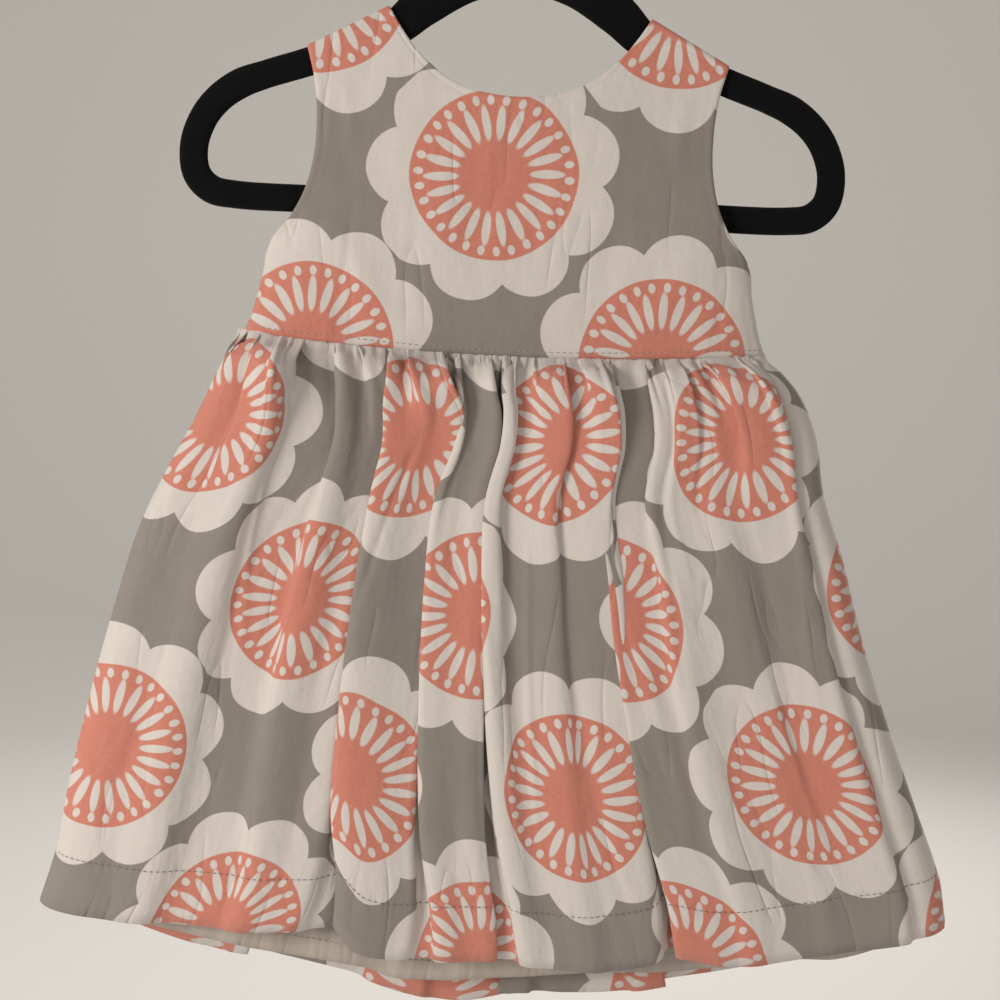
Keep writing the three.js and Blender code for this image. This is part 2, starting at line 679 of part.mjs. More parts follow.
const skirtRead = {};
Object.keys(SKIRT_ROWS[0]).forEach((column) => {
  skirtRead[column] = reader(SKIRT_ROWS, 'down', column);
});

// A place on the unfolded front view of the skirt, and its stand-off from the middle plane
function skirtBase(share, down, extraLength) {
  const left = skirtRead.leftX(down);
  const right = skirtRead.rightX(down);
  const edge = THREE.MathUtils.lerp(skirtRead.leftZ(down), skirtRead.rightZ(down), share);
  const bow = 1 - Math.abs(2 * share - 1) ** 2.2;
  const x = THREE.MathUtils.lerp(left, right, share);
  const z = edge - skirtRead.sag(down) * bow - extraLength * down * bow;
  const toEdge = Math.min(share, 1 - share) * (right - left);
  const depth = SEAM_GAP / 2 + skirtRead.depth(down) * rounded(toEdge, SIDE_ROUNDING);
  return { x, z, depth };
}

// Gathered skirt panel
function skirtPanel(name, side, options) {
  const { cutWidth, gathers, folds, kind, columns, stations, extraLength, hemLift } = options;
  const solve = foldedRows(slopeField(cutWidth, gathers, folds, kind), folds, cutWidth);
  const rows = new Map();
  stations.forEach((down) => {
    const width = skirtRead.rightX(down) - skirtRead.leftX(down);
    rows.set(down, solve(down, width));
  });
  const liftAt = reader(hemLift, 'across', 'lift');
  const pointAt = (across, down) => {
    const { share, height } = rows.get(down)(across);
    const base = skirtBase(share, down, extraLength);
    const fromSeam = down * SKIRT_LENGTH;
    const grow = Math.min(fromSeam / GATHER_PINCH.fullAt, 1);
    const pinch = GATHER_PINCH.atSeam + (1 - GATHER_PINCH.atSeam) * grow;
    const fuller = 1 + FULLNESS.more * Math.exp(-(((fromSeam - FULLNESS.at) / FULLNESS.reach) ** 2));
    const seamless = rounded(Math.min(share, 1 - share) * 400, 12);
    const raised = height * FOLD_RELIEF * pinch * fuller * seamless;
    const lift = liftAt(across) * THREE.MathUtils.smoothstep(down, 0.3, 1);
    return new THREE.Vector3(base.x, side * (base.depth + raised), base.z - WAIST_GAP + lift);
  };
  const shares = evenShares(columns);
  return mesh(name, wall(shares, stations, pointAt, CLOTH, side), COLOURS.flower, 0.85);
}

// Lining panel: flatter, inside the skirt, a little narrower and longer than the front
function liningPanel(name, side) {
  const depthAt = reader(LINING_ROWS, 'down', 'depth');
  const liftAt = reader(LINING_HEM_LIFT, 'across', 'lift');
  const pointAt = (across, down) => {
    const inner = (skirtRead.rightX(down) - skirtRead.leftX(down)) * 0.5;
    const inset = LINING_INSET / inner / 2;
    const share = inset + (1 - 2 * inset) * across;
    const base = skirtBase(share, down, LINING_EXTRA_LENGTH);
    const toEdge = Math.min(across, 1 - across) * 2 * inner;
    const depth = depthAt(down);
    const lift = liftAt(across) * THREE.MathUtils.smoothstep(down, 0.3, 1);
    return new THREE.Vector3(
      base.x,
      side * (SEAM_GAP / 2 + depth * rounded(toEdge, LINING_ROUNDING)),
      base.z - WAIST_GAP + lift,
    );
  };
  const geometry = wall(evenShares(LINING_COLUMNS), LINING_STATIONS, pointAt, LINING_CLOTH, side);
  return mesh(name, geometry, COLOURS.lining, 0.85);
}

const dress = new THREE.Group();
dress.add(mesh('hanger', await boredHanger(), COLOURS.hanger, 0.95));
dress.add(mesh('hanger_hook', hookWire(), COLOURS.wire, 0.3, 1));
dress.add(bodiceFront(), ...bodiceBack());
dress.add(...buttons());
dress.add(
  skirtPanel('skirt_front', -1, {
    cutWidth: FRONT_CUT_WIDTH,
    gathers: FRONT_GATHERS,
    folds: FRONT_FOLDS,
    kind: 3,
    columns: FRONT_COLUMNS,
    stations: SKIRT_STATIONS,
    extraLength: 0,
    hemLift: FRONT_HEM_LIFT,
  }),
);
dress.add(
  skirtPanel('skirt_back', 1, {
    cutWidth: BACK_CUT_WIDTH,
    gathers: BACK_GATHERS,
    folds: BACK_FOLDS,
    kind: 7,
    columns: BACK_COLUMNS,
    stations: BACK_STATIONS,
    extraLength: BACK_EXTRA_LENGTH,
    hemLift: BACK_HEM_LIFT,
  }),
);
dress.add(liningPanel('lining_front', -1), liningPanel('lining_back', 1));

export default dress;
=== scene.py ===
# %% [markdown]
# # A toddler's sundress on a child's hanger
# The dress is cloth, and cloth is a thin sheet that somebody cut flat, folded and sewed. So every
# panel here starts as a flat grid, like the cut cloth, and a function says where each point of the
# cut goes on the hanging dress. The flat cut stays on the mesh as its UV map, so the printed
# flowers bend, bunch up and vanish into the folds just as ink on real cloth does.
# All sizes are in millimetres until a mesh is written, and the front of the dress faces -Y.

# %% Load the fixed frame
import math

import bmesh
import bpy
import numpy as np
from mathutils import Matrix, Vector


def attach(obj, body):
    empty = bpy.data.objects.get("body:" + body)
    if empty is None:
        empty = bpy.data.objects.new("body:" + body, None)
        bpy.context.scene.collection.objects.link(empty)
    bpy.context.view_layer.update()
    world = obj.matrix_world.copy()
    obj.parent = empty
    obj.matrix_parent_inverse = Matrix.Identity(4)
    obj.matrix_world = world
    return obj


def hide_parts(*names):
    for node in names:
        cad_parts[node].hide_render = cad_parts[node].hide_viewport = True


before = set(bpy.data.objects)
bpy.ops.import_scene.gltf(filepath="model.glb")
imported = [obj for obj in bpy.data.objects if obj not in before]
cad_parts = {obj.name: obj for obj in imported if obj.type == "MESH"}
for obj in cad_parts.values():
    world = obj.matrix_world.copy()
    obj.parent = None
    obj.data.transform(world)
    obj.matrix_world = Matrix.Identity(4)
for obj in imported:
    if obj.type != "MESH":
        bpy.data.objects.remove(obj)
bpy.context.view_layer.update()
MM = 0.001
print("frame nodes:", sorted(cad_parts))

# %% [markdown]
# ## The camera and the studio
# The photograph looks slightly down on the dress and is turned a little clockwise. The lens is
# given by the height of the dress and the distance of the camera, so the frame is the same one.

# %% Camera
CAMERA_DISTANCE = 800
CAMERA_PITCH = math.radians(5.3)
CAMERA_YAW = math.radians(1)
CAMERA_ROLL = math.radians(2.7)
CAMERA_AIM = (1, -8, -352)
CAMERA_LENS = 54


def add_camera():
    level_right = Vector((math.cos(CAMERA_YAW), -math.sin(CAMERA_YAW), 0))
    ahead = Vector((math.sin(CAMERA_YAW), math.cos(CAMERA_YAW), 0))
    forward = ahead * math.cos(CAMERA_PITCH) - Vector((0, 0, math.sin(CAMERA_PITCH)))
    level_up = level_right.cross(forward)
    right = level_right * math.cos(CAMERA_ROLL) + level_up * math.sin(CAMERA_ROLL)
    up = right.cross(forward)
    turned = Matrix((right, up, -forward)).transposed().to_4x4()
    place = (Vector(CAMERA_AIM) - forward * CAMERA_DISTANCE) * MM
    camera = bpy.data.objects.new("camera", bpy.data.cameras.new("camera"))
    camera.data.lens = CAMERA_LENS
    camera.matrix_world = Matrix.Translation(place) @ turned
    bpy.context.scene.collection.objects.link(camera)
    bpy.context.scene.camera = camera
    return place


print("camera at", [round(v, 3) for v in add_camera()])

# %% [markdown]
# The light is plain and soft. A weak warm world fills the shadows. A key light low on the left
# draws the folds, a wide fill on the right keeps them from going black, and a light behind the
# dress parts its outline from the backdrop.

# %% Soft light
WORLD_COLOUR = (0.93, 0.88, 0.81)
WORLD_STRENGTH = 0.43


def add_world():
    world = bpy.data.worlds.new("studio")
    world.use_nodes = True
    background = world.node_tree.nodes["Background"]
    background.inputs["Color"].default_value = (*WORLD_COLOUR, 1)
    background.inputs["Strength"].default_value = WORLD_STRENGTH
    bpy.context.scene.world = world
    bpy.context.scene.view_settings.view_transform = "Standard"


def add_area_light(name, place, size, power, colour):
    light = bpy.data.lights.new(name, "AREA")
    light.size = size
    light.energy = power
    light.color = colour
    lamp = bpy.data.objects.new(name, light)
    aim = Vector(CAMERA_AIM) * MM
    place = Vector(place)
    lamp.rotation_euler = (aim - place).to_track_quat("-Z", "Y").to_euler()
    lamp.location = place
    bpy.context.scene.collection.objects.link(lamp)


add_world()
add_area_light("key", place=(-1.3, -0.95, -0.1), size=0.5, power=24, colour=(1, 0.95, 0.88))
add_area_light("fill", place=(0.8, -1.4, -0.8), size=1.2, power=8, colour=(1, 0.95, 0.9))
add_area_light("back", place=(0.3, 1.6, 0.4), size=1.4, power=16, colour=(1, 0.96, 0.92))

# %% [markdown]
# ## Writing shader maths as sums
# A printed pattern is arithmetic: how far is this spot from the flower's centre, and is that more
# than the radius? Blender writes arithmetic as nodes. This small class wraps one socket, so that a
# Python sum such as `radius - 4` adds the Math node and its links by itself.

# %% A socket that can stand in sums
class Link:
    def __init__(self, tree, socket=None):
        self.tree = tree
        self.socket = socket

    def node(self, kind, settings=None, inputs=None, output=0):
        made = self.tree.nodes.new(kind)
        for name, value in (settings or {}).items():
            setattr(made, name, value)
        for name, value in (inputs or {}).items():
            if isinstance(value, Link):
                self.tree.links.new(value.socket, made.inputs[name])
            else:
                made.inputs[name].default_value = value
        return Link(self.tree, made.outputs[output])

    def math(self, operation, *others, clamp=False):
        settings = {"operation": operation, "use_clamp": clamp}
        return self.node("ShaderNodeMath", settings, dict(enumerate((self, *others))))

    def __add__(self, other):
        return self.math("ADD", other)

    __radd__ = __add__

    def __mul__(self, other):
        return self.math("MULTIPLY", other)

    __rmul__ = __mul__

    def __sub__(self, other):
        return self.math("SUBTRACT", other)

    def __rsub__(self, other):
        return (self * -1) + other

    def __truediv__(self, other):
        return self.math("DIVIDE", other)

    def rises(self, limit, softness):
        """0 well below the limit, 1 well above it, with a soft step between."""
        return ((self - limit) / softness).math("ADD", 0.5, clamp=True)

    def colour(self, low, high):
        """The colour low where this is 0 and high where it is 1."""
        settings = {"data_type": "RGBA", "clamp_factor": True}
        return self.node("ShaderNodeMix", settings, {0: self, 6: rgba(low), 7: rgba(high)}, 2)

    def between(self, low, high):
        """The number low where this is 0 and high where it is 1."""
        return self.node("ShaderNodeMix", {"data_type": "FLOAT"}, {0: self, 2: low, 3: high})

    def vector(self, operation, other, output=0):
        return self.node("ShaderNodeVectorMath", {"operation": operation}, {0: self, 1: other}, output)

    def noise(self, scale, detail=2.0, roughness=0.5):
        inputs = {"Vector": self, "Scale": scale, "Detail": detail, "Roughness": roughness}
        return self.node("ShaderNodeTexNoise", None, inputs)


def rgba(value):
    return value if isinstance(value, Link) else (*value, 1)


# %% [markdown]
# Every finish is one Principled shader with a few fixed values. What varies over the surface is
# then connected to its sockets, such as the colour, the roughness and the bump.

# %% A material with one shader
def start_material(name, roughness, **fixed):
    made = bpy.data.materials.new(name)
    made.use_nodes = True
    tree = made.node_tree
    shader = tree.nodes["Principled BSDF"]
    shader.inputs["Roughness"].default_value = roughness
    for socket, value in fixed.items():
        shader.inputs[socket.replace("_", " ")].default_value = value
    return made, Link(tree), shader


def connect(link, shader, socket):
    link.tree.links.new(link.socket, shader.inputs[socket])


def bump(start, height, strength, distance, below=None):
    """The normal of a relief, on top of another relief's normal if there is one."""
    inputs = {"Strength": strength, "Distance": distance, "Height": height}
    if below is not None:
        inputs["Normal"] = below
    return start.node("ShaderNodeBump", None, inputs)


# %% [markdown]
# ## The printed cloth
# The real cloth is a cotton poplin with very large pale flowers and coral middles on warm gray.
# The print is a plain flower of our own with the same colours and scale. Round petals are circles
# set round a ring, so a petal's edge at any angle is one square root. The seeds and dots are
# ovals counted round the middle. Half of the flowers sit on a square lattice, and the other half
# on the same lattice moved by half a cell.

# %% Print sizes and colours
CELL = 186
PETALS = 9
PETAL_RING = 46.5
PETAL_RADIUS = 20.5
DISC_RADIUS = 44
SEEDS = {"count": 22, "ring": 27.5, "half_length": 9.2, "half_width": 2.3}
DOTS = {"count": 30, "ring": 39.3, "half_length": 2.6, "half_width": 1.9}
EDGE_SOFTNESS = 0.5
OVAL_SOFTNESS = 0.22
PRINT_WOBBLE = {"scale": 0.03, "reach": 3}
FLOWER_TURNS = (1.7, 2.3, 0)
HALF_CELL_TURN = 0.95
GRAY_UNEVENNESS = 0.07
WHITE_UNEVENNESS = 0.03
GRAY = (0.18, 0.158, 0.14)
WHITE = (0.475, 0.435, 0.41)
CORAL = (0.46, 0.165, 0.117)
CORAL_DEEP = (0.39, 0.126, 0.088)


def oval_ring(turn, radius, sizes):
    """1 inside each of a ring of ovals that point at the flower's middle."""
    step = 2 * math.pi / sizes["count"]
    sideways = ((turn * (1 / step)).math("FRACT") - 0.5) * step * radius
    outward = radius - sizes["ring"]
    reach = (sideways / sizes["half_width"]).math("POWER", 2)
    reach = reach + (outward / sizes["half_length"]).math("POWER", 2)
    return 1 - reach.math("SQRT").rises(1, OVAL_SOFTNESS)


def lattice_flower(cloth, shift):
    """The place, distance and own turn of the nearest flower of a lattice moved by part of a cell."""
    cells = cloth.vector("DIVIDE", (CELL, CELL, 1)).vector("ADD", (shift, shift, 0))
    centred = cells.vector("FRACTION", (0, 0, 0)).vector("SUBTRACT", (0.5, 0.5, 0))
    local = centred.vector("MULTIPLY", (CELL, CELL, 0))
    own_turn = cells.vector("FLOOR", (0, 0, 0)).vector("DOT_PRODUCT", FLOWER_TURNS, 1)
    return local, local.vector("LENGTH", (0, 0, 0), 1), own_turn + shift * 2 * HALF_CELL_TURN


def nearest_flower(start, cloth):
    """The place in the nearest flower and its own turn, out of the two lattices."""
    wander = cloth.noise(PRINT_WOBBLE["scale"], 1).vector("SUBTRACT", (0.5, 0.5, 0.5))
    reach = PRINT_WOBBLE["reach"]
    drawn = cloth.vector("ADD", wander.vector("MULTIPLY", (reach, reach, 0)))
    local_a, far_a, turn_a = lattice_flower(drawn, 0.0)
    local_b, far_b, turn_b = lattice_flower(drawn, 0.5)
    second = far_a.math("GREATER_THAN", far_b)
    mixed = {0: second, 4: local_a, 5: local_b}
    local = start.node("ShaderNodeMix", {"data_type": "VECTOR"}, mixed, 1)
    return local, second.between(turn_a, turn_b)


def petal_edge(turn):
    """The distance from the flower's middle to the outer edge of its petals."""
    wedge = 2 * math.pi / PETALS
    inside = ((turn * (1 / wedge)).math("FRACT") - 0.5) * wedge
    sideways = inside.math("SINE") * PETAL_RING
    beyond = (PETAL_RADIUS**2 - sideways.math("POWER", 2)).math("SQRT")
    return inside.math("COSINE") * PETAL_RING + beyond


def flower_masks(start, cloth):
    """Petal, disc and mark masks of the print at a place of the flat cloth, in millimetres."""
    local, own_turn = nearest_flower(start, cloth)
    across = start.node("ShaderNodeSeparateXYZ", None, {0: local}, 0)
    along = start.node("ShaderNodeSeparateXYZ", None, {0: local}, 1)
    radius = local.vector("LENGTH", (0, 0, 0), 1)
    turn = along.math("ARCTAN2", across) + own_turn + 20 * math.pi
    petals = (petal_edge(turn) - radius).rises(0, EDGE_SOFTNESS)
    disc = 1 - radius.rises(DISC_RADIUS, EDGE_SOFTNESS)
    marks = oval_ring(turn, radius, SEEDS).math("MAXIMUM", oval_ring(turn, radius, DOTS))
    return petals, disc, marks


def shades(colour, unevenness):
    """A darker and a lighter shade of a colour."""
    return [tuple(part * share for part in colour) for share in (1 - unevenness, 1 + unevenness)]


def flower_print(start, cloth):
    petals, disc, marks = flower_masks(start, cloth)
    uneven = cloth.noise(0.05, 3)
    gray = uneven.colour(*shades(GRAY, GRAY_UNEVENNESS))
    white = uneven.colour(*shades(WHITE, WHITE_UNEVENNESS))
    coral = cloth.noise(0.4, 4).rises(0.5, 0.9).colour(CORAL_DEEP, CORAL)
    ground = petals.colour(gray, white)
    return (disc * (1 - marks)).colour(ground, coral)


# %% [markdown]
# ### Weave, puckers and the wrong side
# Poplin's threads are much finer than a pixel of the photograph, so the weave is a faint bump.
# Along a row of machine stitches the cloth puckers: it is pulled in on the line and rises in small
# ribs across it. Ink does not go all the way through, so the inner face is the same print, paler.
# Near the hem the cloth is turned up, so there the inner face shows the right side again.

# %% Cloth finish
WEAVE_PITCH = 0.55
WEAVE_BUMP = {"strength": 0.25, "distance": 0.00012}
CRUMPLE_DEPTH = 0.0035
PUCKER_BUMP = {"strength": 0.55, "distance": 0.0011}
PUCKER_REACH = 5
PUCKER_GROOVE = {"depth": 0.5, "reach": 0.9}
PRESS_SHARPNESS = 0.02
PRESS_SHARE = 0.34
PALE_SHARE = 0.55
PALE_COLOUR = (0.5, 0.44, 0.39)


def cloth_place(start):
    """The place on the flat cut, in millimetres, from the panel's own UV map."""
    uv = start.node("ShaderNodeUVMap", {"uv_map": "cut"})
    return uv.vector("MULTIPLY", (1000, 1000, 0))


def weave_height(start, cloth):
    turns = 2 * math.pi / WEAVE_PITCH
    across = start.node("ShaderNodeSeparateXYZ", None, {0: cloth}, 0)
    along = start.node("ShaderNodeSeparateXYZ", None, {0: cloth}, 1)
    threads = (across * turns).math("SINE") * (along * turns).math("SINE")
    slubs = cloth.vector("MULTIPLY", (1, 0.12, 1)).noise(1.2, 3)
    return threads * 0.25 + slubs


def pucker_height(start, cloth, seam_heights):
    """Small ribs across each row of stitches, at these heights above the cut's lower edge."""
    along = start.node("ShaderNodeSeparateXYZ", None, {0: cloth}, 1)
    ribs = cloth.vector("MULTIPLY", (1, 0.08, 1)).noise(0.22, 2)
    total = None
    for height in seam_heights:
        near = (along - height).math("ABSOLUTE")
        fade = (near * (-1 / PUCKER_REACH)).math("EXPONENT")
        groove = (near * (-1 / PUCKER_GROOVE["reach"])).math("EXPONENT") * -PUCKER_GROOVE["depth"]
        one = (ribs - 0.5) * fade * 2 + groove
        total = one if total is None else total + one
    return total


def crumple_height(cloth):
    """Soft, shallow crumples left by wear, longer down the cloth than across it."""
    long_ones = cloth.vector("MULTIPLY", (1, 0.35, 1)).noise(0.035, 3, 0.55)
    short_ones = cloth.vector("ADD", (311, 97, 0)).noise(0.09, 3, 0.6)
    return long_ones + short_ones * 0.35


def press_lines(cloth):
    """Thin sharp lines down the cloth, here and there, where it was once folded flat."""
    bent = cloth.vector("MULTIPLY", (1, 0.2, 1)).noise(0.026, 2, 0.5)
    lines = ((bent - 0.5).math("ABSOLUTE") * (-1 / PRESS_SHARPNESS)).math("EXPONENT")
    patches = cloth.vector("ADD", (57, 733, 0)).noise(0.014, 1).rises(0.5, 0.12)
    return lines * patches * -1


def finish_cloth(start, shader, cloth, seam_heights, crumple):
    normal = bump(start, weave_height(start, cloth), **WEAVE_BUMP)
    height = crumple_height(cloth) + press_lines(cloth) * PRESS_SHARE
    normal = bump(start, height, crumple, CRUMPLE_DEPTH, normal)
    if seam_heights:
        ribs = pucker_height(start, cloth, seam_heights)
        normal = bump(start, ribs, **PUCKER_BUMP, below=normal)
    connect(normal, shader, "Normal")


def printed_cloth(name, seam_heights, crumple=0.5):
    made, start, shader = start_material(name, 0.88, Sheen_Weight=0.12, Sheen_Roughness=0.6)
    cloth = cloth_place(start)
    connect(flower_print(start, cloth), shader, "Base Color")
    finish_cloth(start, shader, cloth, seam_heights, crumple)
    return made


def wrong_side(name, fold_height, seam_heights):
    """The inner face: pale print, and the right side again on the turned-up hem."""
    made, start, shader = start_material(name, 0.92, Sheen_Weight=0.1, Sheen_Roughness=0.6)
    cloth = cloth_place(start)
    print_colour = flower_print(start, cloth)
    mixed = {0: PALE_SHARE, 6: print_colour, 7: rgba(PALE_COLOUR)}
    pale = start.node("ShaderNodeMix", {"data_type": "RGBA"}, mixed, 2)
    colour = pale
    if fold_height:
        along = start.node("ShaderNodeSeparateXYZ", None, {0: cloth}, 1)
        colour = along.rises(fold_height, 0.6).colour(print_colour, pale)
    connect(colour, shader, "Base Color")
    finish_cloth(start, shader, cloth, seam_heights, 0.4)
    return made


def plain_cloth(name, dark, light, seam_heights, crumple=0.45):
    made, start, shader = start_material(name, 0.9, Sheen_Weight=0.1, Sheen_Roughness=0.6)
    cloth = cloth_place(start)
    # Long darker and lighter streaks down the cloth: painted shade and painted light of folds that the
    # flat lining does not have.
    painted_fold_shade = cloth.vector("MULTIPLY", (1, 0.15, 1)).noise(0.06, 4, 0.6)
    connect(painted_fold_shade.rises(0.5, 0.6).colour(dark, light), shader, "Base Color")
    finish_cloth(start, shader, cloth, seam_heights, crumple)
    return made


# %% [markdown]
# ### Thread, buttons, flock and wire
# Small hard things need contrast more than detail: the flocked hanger soaks up nearly all light,
# while the buttons and the wire carry the only crisp highlights.

# %% Small materials
def thread_material(name, dark, light):
    made, start, shader = start_material(name, 0.7, Sheen_Weight=0.2)
    place = start.node("ShaderNodeTexCoord", output="Object")
    strands = place.noise(900, 2)
    connect(strands.colour(dark, light), shader, "Base Color")
    return made


def button_material():
    made, start, shader = start_material("button_pearl", 0.25, Coat_Weight=0.4, Coat_Roughness=0.1)
    place = start.node("ShaderNodeTexCoord", output="Object")
    clouds = place.noise(160, 3)
    connect(clouds.colour((0.7, 0.62, 0.53), (0.86, 0.82, 0.76)), shader, "Base Color")
    connect(clouds.between(0.18, 0.32), shader, "Roughness")
    return made


def flock_material():
    made, start, shader = start_material("black_flock", 1.0, Sheen_Weight=0.05, Sheen_Roughness=0.5)
    shader.inputs["Specular IOR Level"].default_value = 0.06
    place = start.node("ShaderNodeTexCoord", output="Object")
    fibres = place.noise(1400, 2)
    patches = place.noise(60, 3)
    connect(patches.colour((0.0022, 0.0022, 0.0026), (0.0045, 0.0044, 0.005)), shader, "Base Color")
    connect(bump(start, fibres, 0.8, 0.0006), shader, "Normal")
    return made


def wire_material():
    made, start, shader = start_material("hook_steel", 0.3, Metallic=1.0)
    place = start.node("ShaderNodeTexCoord", output="Object")
    drawn = place.vector("MULTIPLY", (1, 1, 0.1)).noise(700, 2)
    connect(drawn.colour((0.5, 0.5, 0.52), (0.68, 0.68, 0.7)), shader, "Base Color")
    connect(drawn.between(0.22, 0.4), shader, "Roughness")
    return made


print("cell of the print:", CELL, "mm, flower:", 2 * (PETAL_RING + PETAL_RADIUS), "mm across")

# %% [markdown]
# ## From the flat cut to the hanging dress
# Each panel has two coordinates: `across`, 0 at its left edge and 1 at its right, and `down`, 0 at
# its top and 1 at its bottom edge. Short tables hold the dress's outline, and a smooth curve runs
# through each of their columns. The tables are the same as the fixed frame's, so the fine cloth
# lies on the plain solids that it replaces.

# %% Smooth tables
def reader(rows, at, value):
    """A smooth curve through one column of a table, read at a value of another column."""
    places = np.array([row[at] for row in rows], float)
    values = np.array([row[value] for row in rows], float)
    before = np.maximum(np.arange(len(rows)) - 1, 0)
    after = np.minimum(np.arange(len(rows)) + 1, len(rows) - 1)
    slopes = (values[after] - values[before]) / (places[after] - places[before])

    def read(place):
        i = np.searchsorted(places[1:-1], place)
        span = places[i + 1] - places[i]
        t = (place - places[i]) / span
        rise = values[i + 1] - values[i]
        a = slopes[i] * span - rise
        b = rise - slopes[i + 1] * span
        return values[i] + rise * t + t * (1 - t) * (a * (1 - t) + b * t)

    return read


def table(columns, *rows):
    """Rows of numbers with named columns."""
    names = columns.split()
    return [dict(zip(names, row)) for row in rows]


def smooth_step(value, low, high):
    t = np.clip((value - low) / (high - low), 0, 1)
    return t * t * (3 - 2 * t)


def rounded(distance, reach):
    """A quarter ellipse from 0 at an edge to 1 at the given reach."""
    left = 1 - np.clip(np.asarray(distance, float) / reach, 0, 1)
    return np.sqrt(1 - left * left)


def uneven(index, kind):
    """A repeatable uneven number between 0 and 1."""
    wave = np.sin(index * 12.9898 + kind * 78.233) * 43758.5453
    return wave - np.floor(wave)


# %% [markdown]
# ### The outline of the dress
# The skirt's table gives its left and right edges, how far its middle hangs below them, and how
# far the cloth stands off the middle plane between front and back.

# %% Outline tables
SEAM_GAP = 0.3
WAIST_GAP = 0.95
HANGER_LINE = -178
SKIRT_LENGTH = 326
HEM_DEPTH = 30
SIDE_ROUNDING = 34
STRAP_ROUNDING = 3

SKIRT_ROWS = table(
    "down leftX leftZ rightX rightZ sag depth",
    (0, -138, -269, 138, -269, 6.5, 8),
    (0.04, -146.4, -279.3, 148.5, -277.3, 8, 9),
    (0.09, -154, -294, 159.4, -289.8, 9, 9),
    (0.16, -163.4, -315.3, 169.1, -311, 10.5, 9),
    (0.25, -176.9, -341.9, 174.7, -340.3, 12, 9),
    (0.36, -191.6, -375.3, 187.3, -374.8, 14, 9),
    (0.5, -204.2, -420, 201.2, -419.5, 16, 9),
    (0.65, -216.1, -468.4, 218.5, -466.5, 18.5, 9.5),
    (0.8, -226.2, -517.2, 237.4, -512.9, 21, 10),
    (0.92, -232.7, -556.5, 252.6, -549.9, 22.5, 10.5),
    (1, -240, -582, 258, -576, 23.5, 11),
)
FRONT_NECK = [(0, 37), (21, 39.5), (38, 46.5), (52, 58), (61, 69), (69, 81.3)]
BACK_NECK_DROP = 5
STRAP_OUTER = (110.5, 59.3)
ARMPIT = (127, -44)
WAIST_CORNER = (138, -91)
WAIST_DIP = 6.5
ARMHOLE = [STRAP_OUTER, (106, 42), (104, 24), (104.4, 4), (108.5, -15), (116, -30), ARMPIT]
SIDE_SEAM = [ARMPIT, (130.5, -62), (134, -77), WAIST_CORNER]
STRAP_SHARE = 0.17

read_skirt = {name: reader(SKIRT_ROWS, "down", name) for name in SKIRT_ROWS[0]}
print("skirt hem is", read_skirt["rightX"](1.0) - read_skirt["leftX"](1.0), "mm wide")

# %% [markdown]
# ### Gathers and folds
# A gathered skirt has far more cloth in it than it is wide. Think of one level line of that cloth
# seen from above: it winds in and out. At each point the line has a slope, the angle between the
# cloth and the front view. Adding up the cosines of the slope gives the width that is seen, and
# adding up the sines gives how far the fold stands out. So a fold is only a bump in the slope,
# and one number, the tightness, is tuned in each row until the seen width is right.
#
# A row of a fold table gives one long fold: its place across the cut at the top and at the hem,
# its width in millimetres, its steepness in degrees at the waist, in the middle and at the end,
# and the share of that steepness on its rising and its falling side. The lift tables say how far
# the folds draw the hem up at places across the cut.

# %% Fold tables
FOLD_RELIEF = 0.45
LEVELLING_WINDOW = 110
COVER_WINDOW = 46
SEAM_GATHERING = 0.44
SEAM_GATHERING_REACH = 0.13
STEEPEST = math.radians(166)
TIGHTNESS_LIMITS = (0.25, 1.9)
GATHER_SLOPE = math.radians(165)
GATHER_SHARE = (0.33, 0.56)
GATHER_REACH = (24, 110)
GATHER_WIDTH = {"least": 0.55, "spread": 0.9}
GATHER_STEEPNESS = {"least": 0.75, "spread": 0.3}
SOFT_WAVES = {"slope": 0.16, "full_at": 0.3, "count": 5.3, "drift": 0.35}
LEAST_COVER = 0.06
CALM_AT_SIDE = 12
MEAN_WIDTH = 400
PINCH_AT_SEAM = 0.6
PINCH_START = (0.8, 6)
FULLER_BELOW_SEAM = 1
FULLEST_AT = 13
FULL_REACH = 26
PINCH_LENGTH = 14
FOLD_COLUMNS = "top hem width waist middle end rise fall"
FRONT_FOLDS = table(
    FOLD_COLUMNS,
    (0.07, 0.09, 17, 60, 50, 30, 0.6, 1),
    (0.17, 0.19, 14, 90, 70, 30, 1, 0.5),
    (0.225, 0.24, 11, 120, 60, 20, 0.3, 1),
    (0.285, 0.334, 26, 130, 150, 150, 1, 0.12),
    (0.355, 0.374, 13, 140, 110, 40, 0, 1),
    (0.415, 0.43, 13, 130, 130, 44, 1, 0.2),
    (0.46, 0.475, 13, 140, 140, 60, 0.2, 1),
    (0.53, 0.54, 14, 120, 100, 36, 1, 0.7),
    (0.6, 0.6, 12, 95, 70, 24, 0.2, 1),
    (0.68, 0.652, 23, 110, 145, 150, 0, 1),
    (0.77, 0.748, 26, 120, 150, 155, 1, 0),
    (0.82, 0.815, 11, 120, 60, 24, 1, 0.4),
    (0.875, 0.88, 12, 100, 50, 24, 0.3, 1),
    (0.935, 0.945, 14, 70, 90, 130, 0, 1),
)
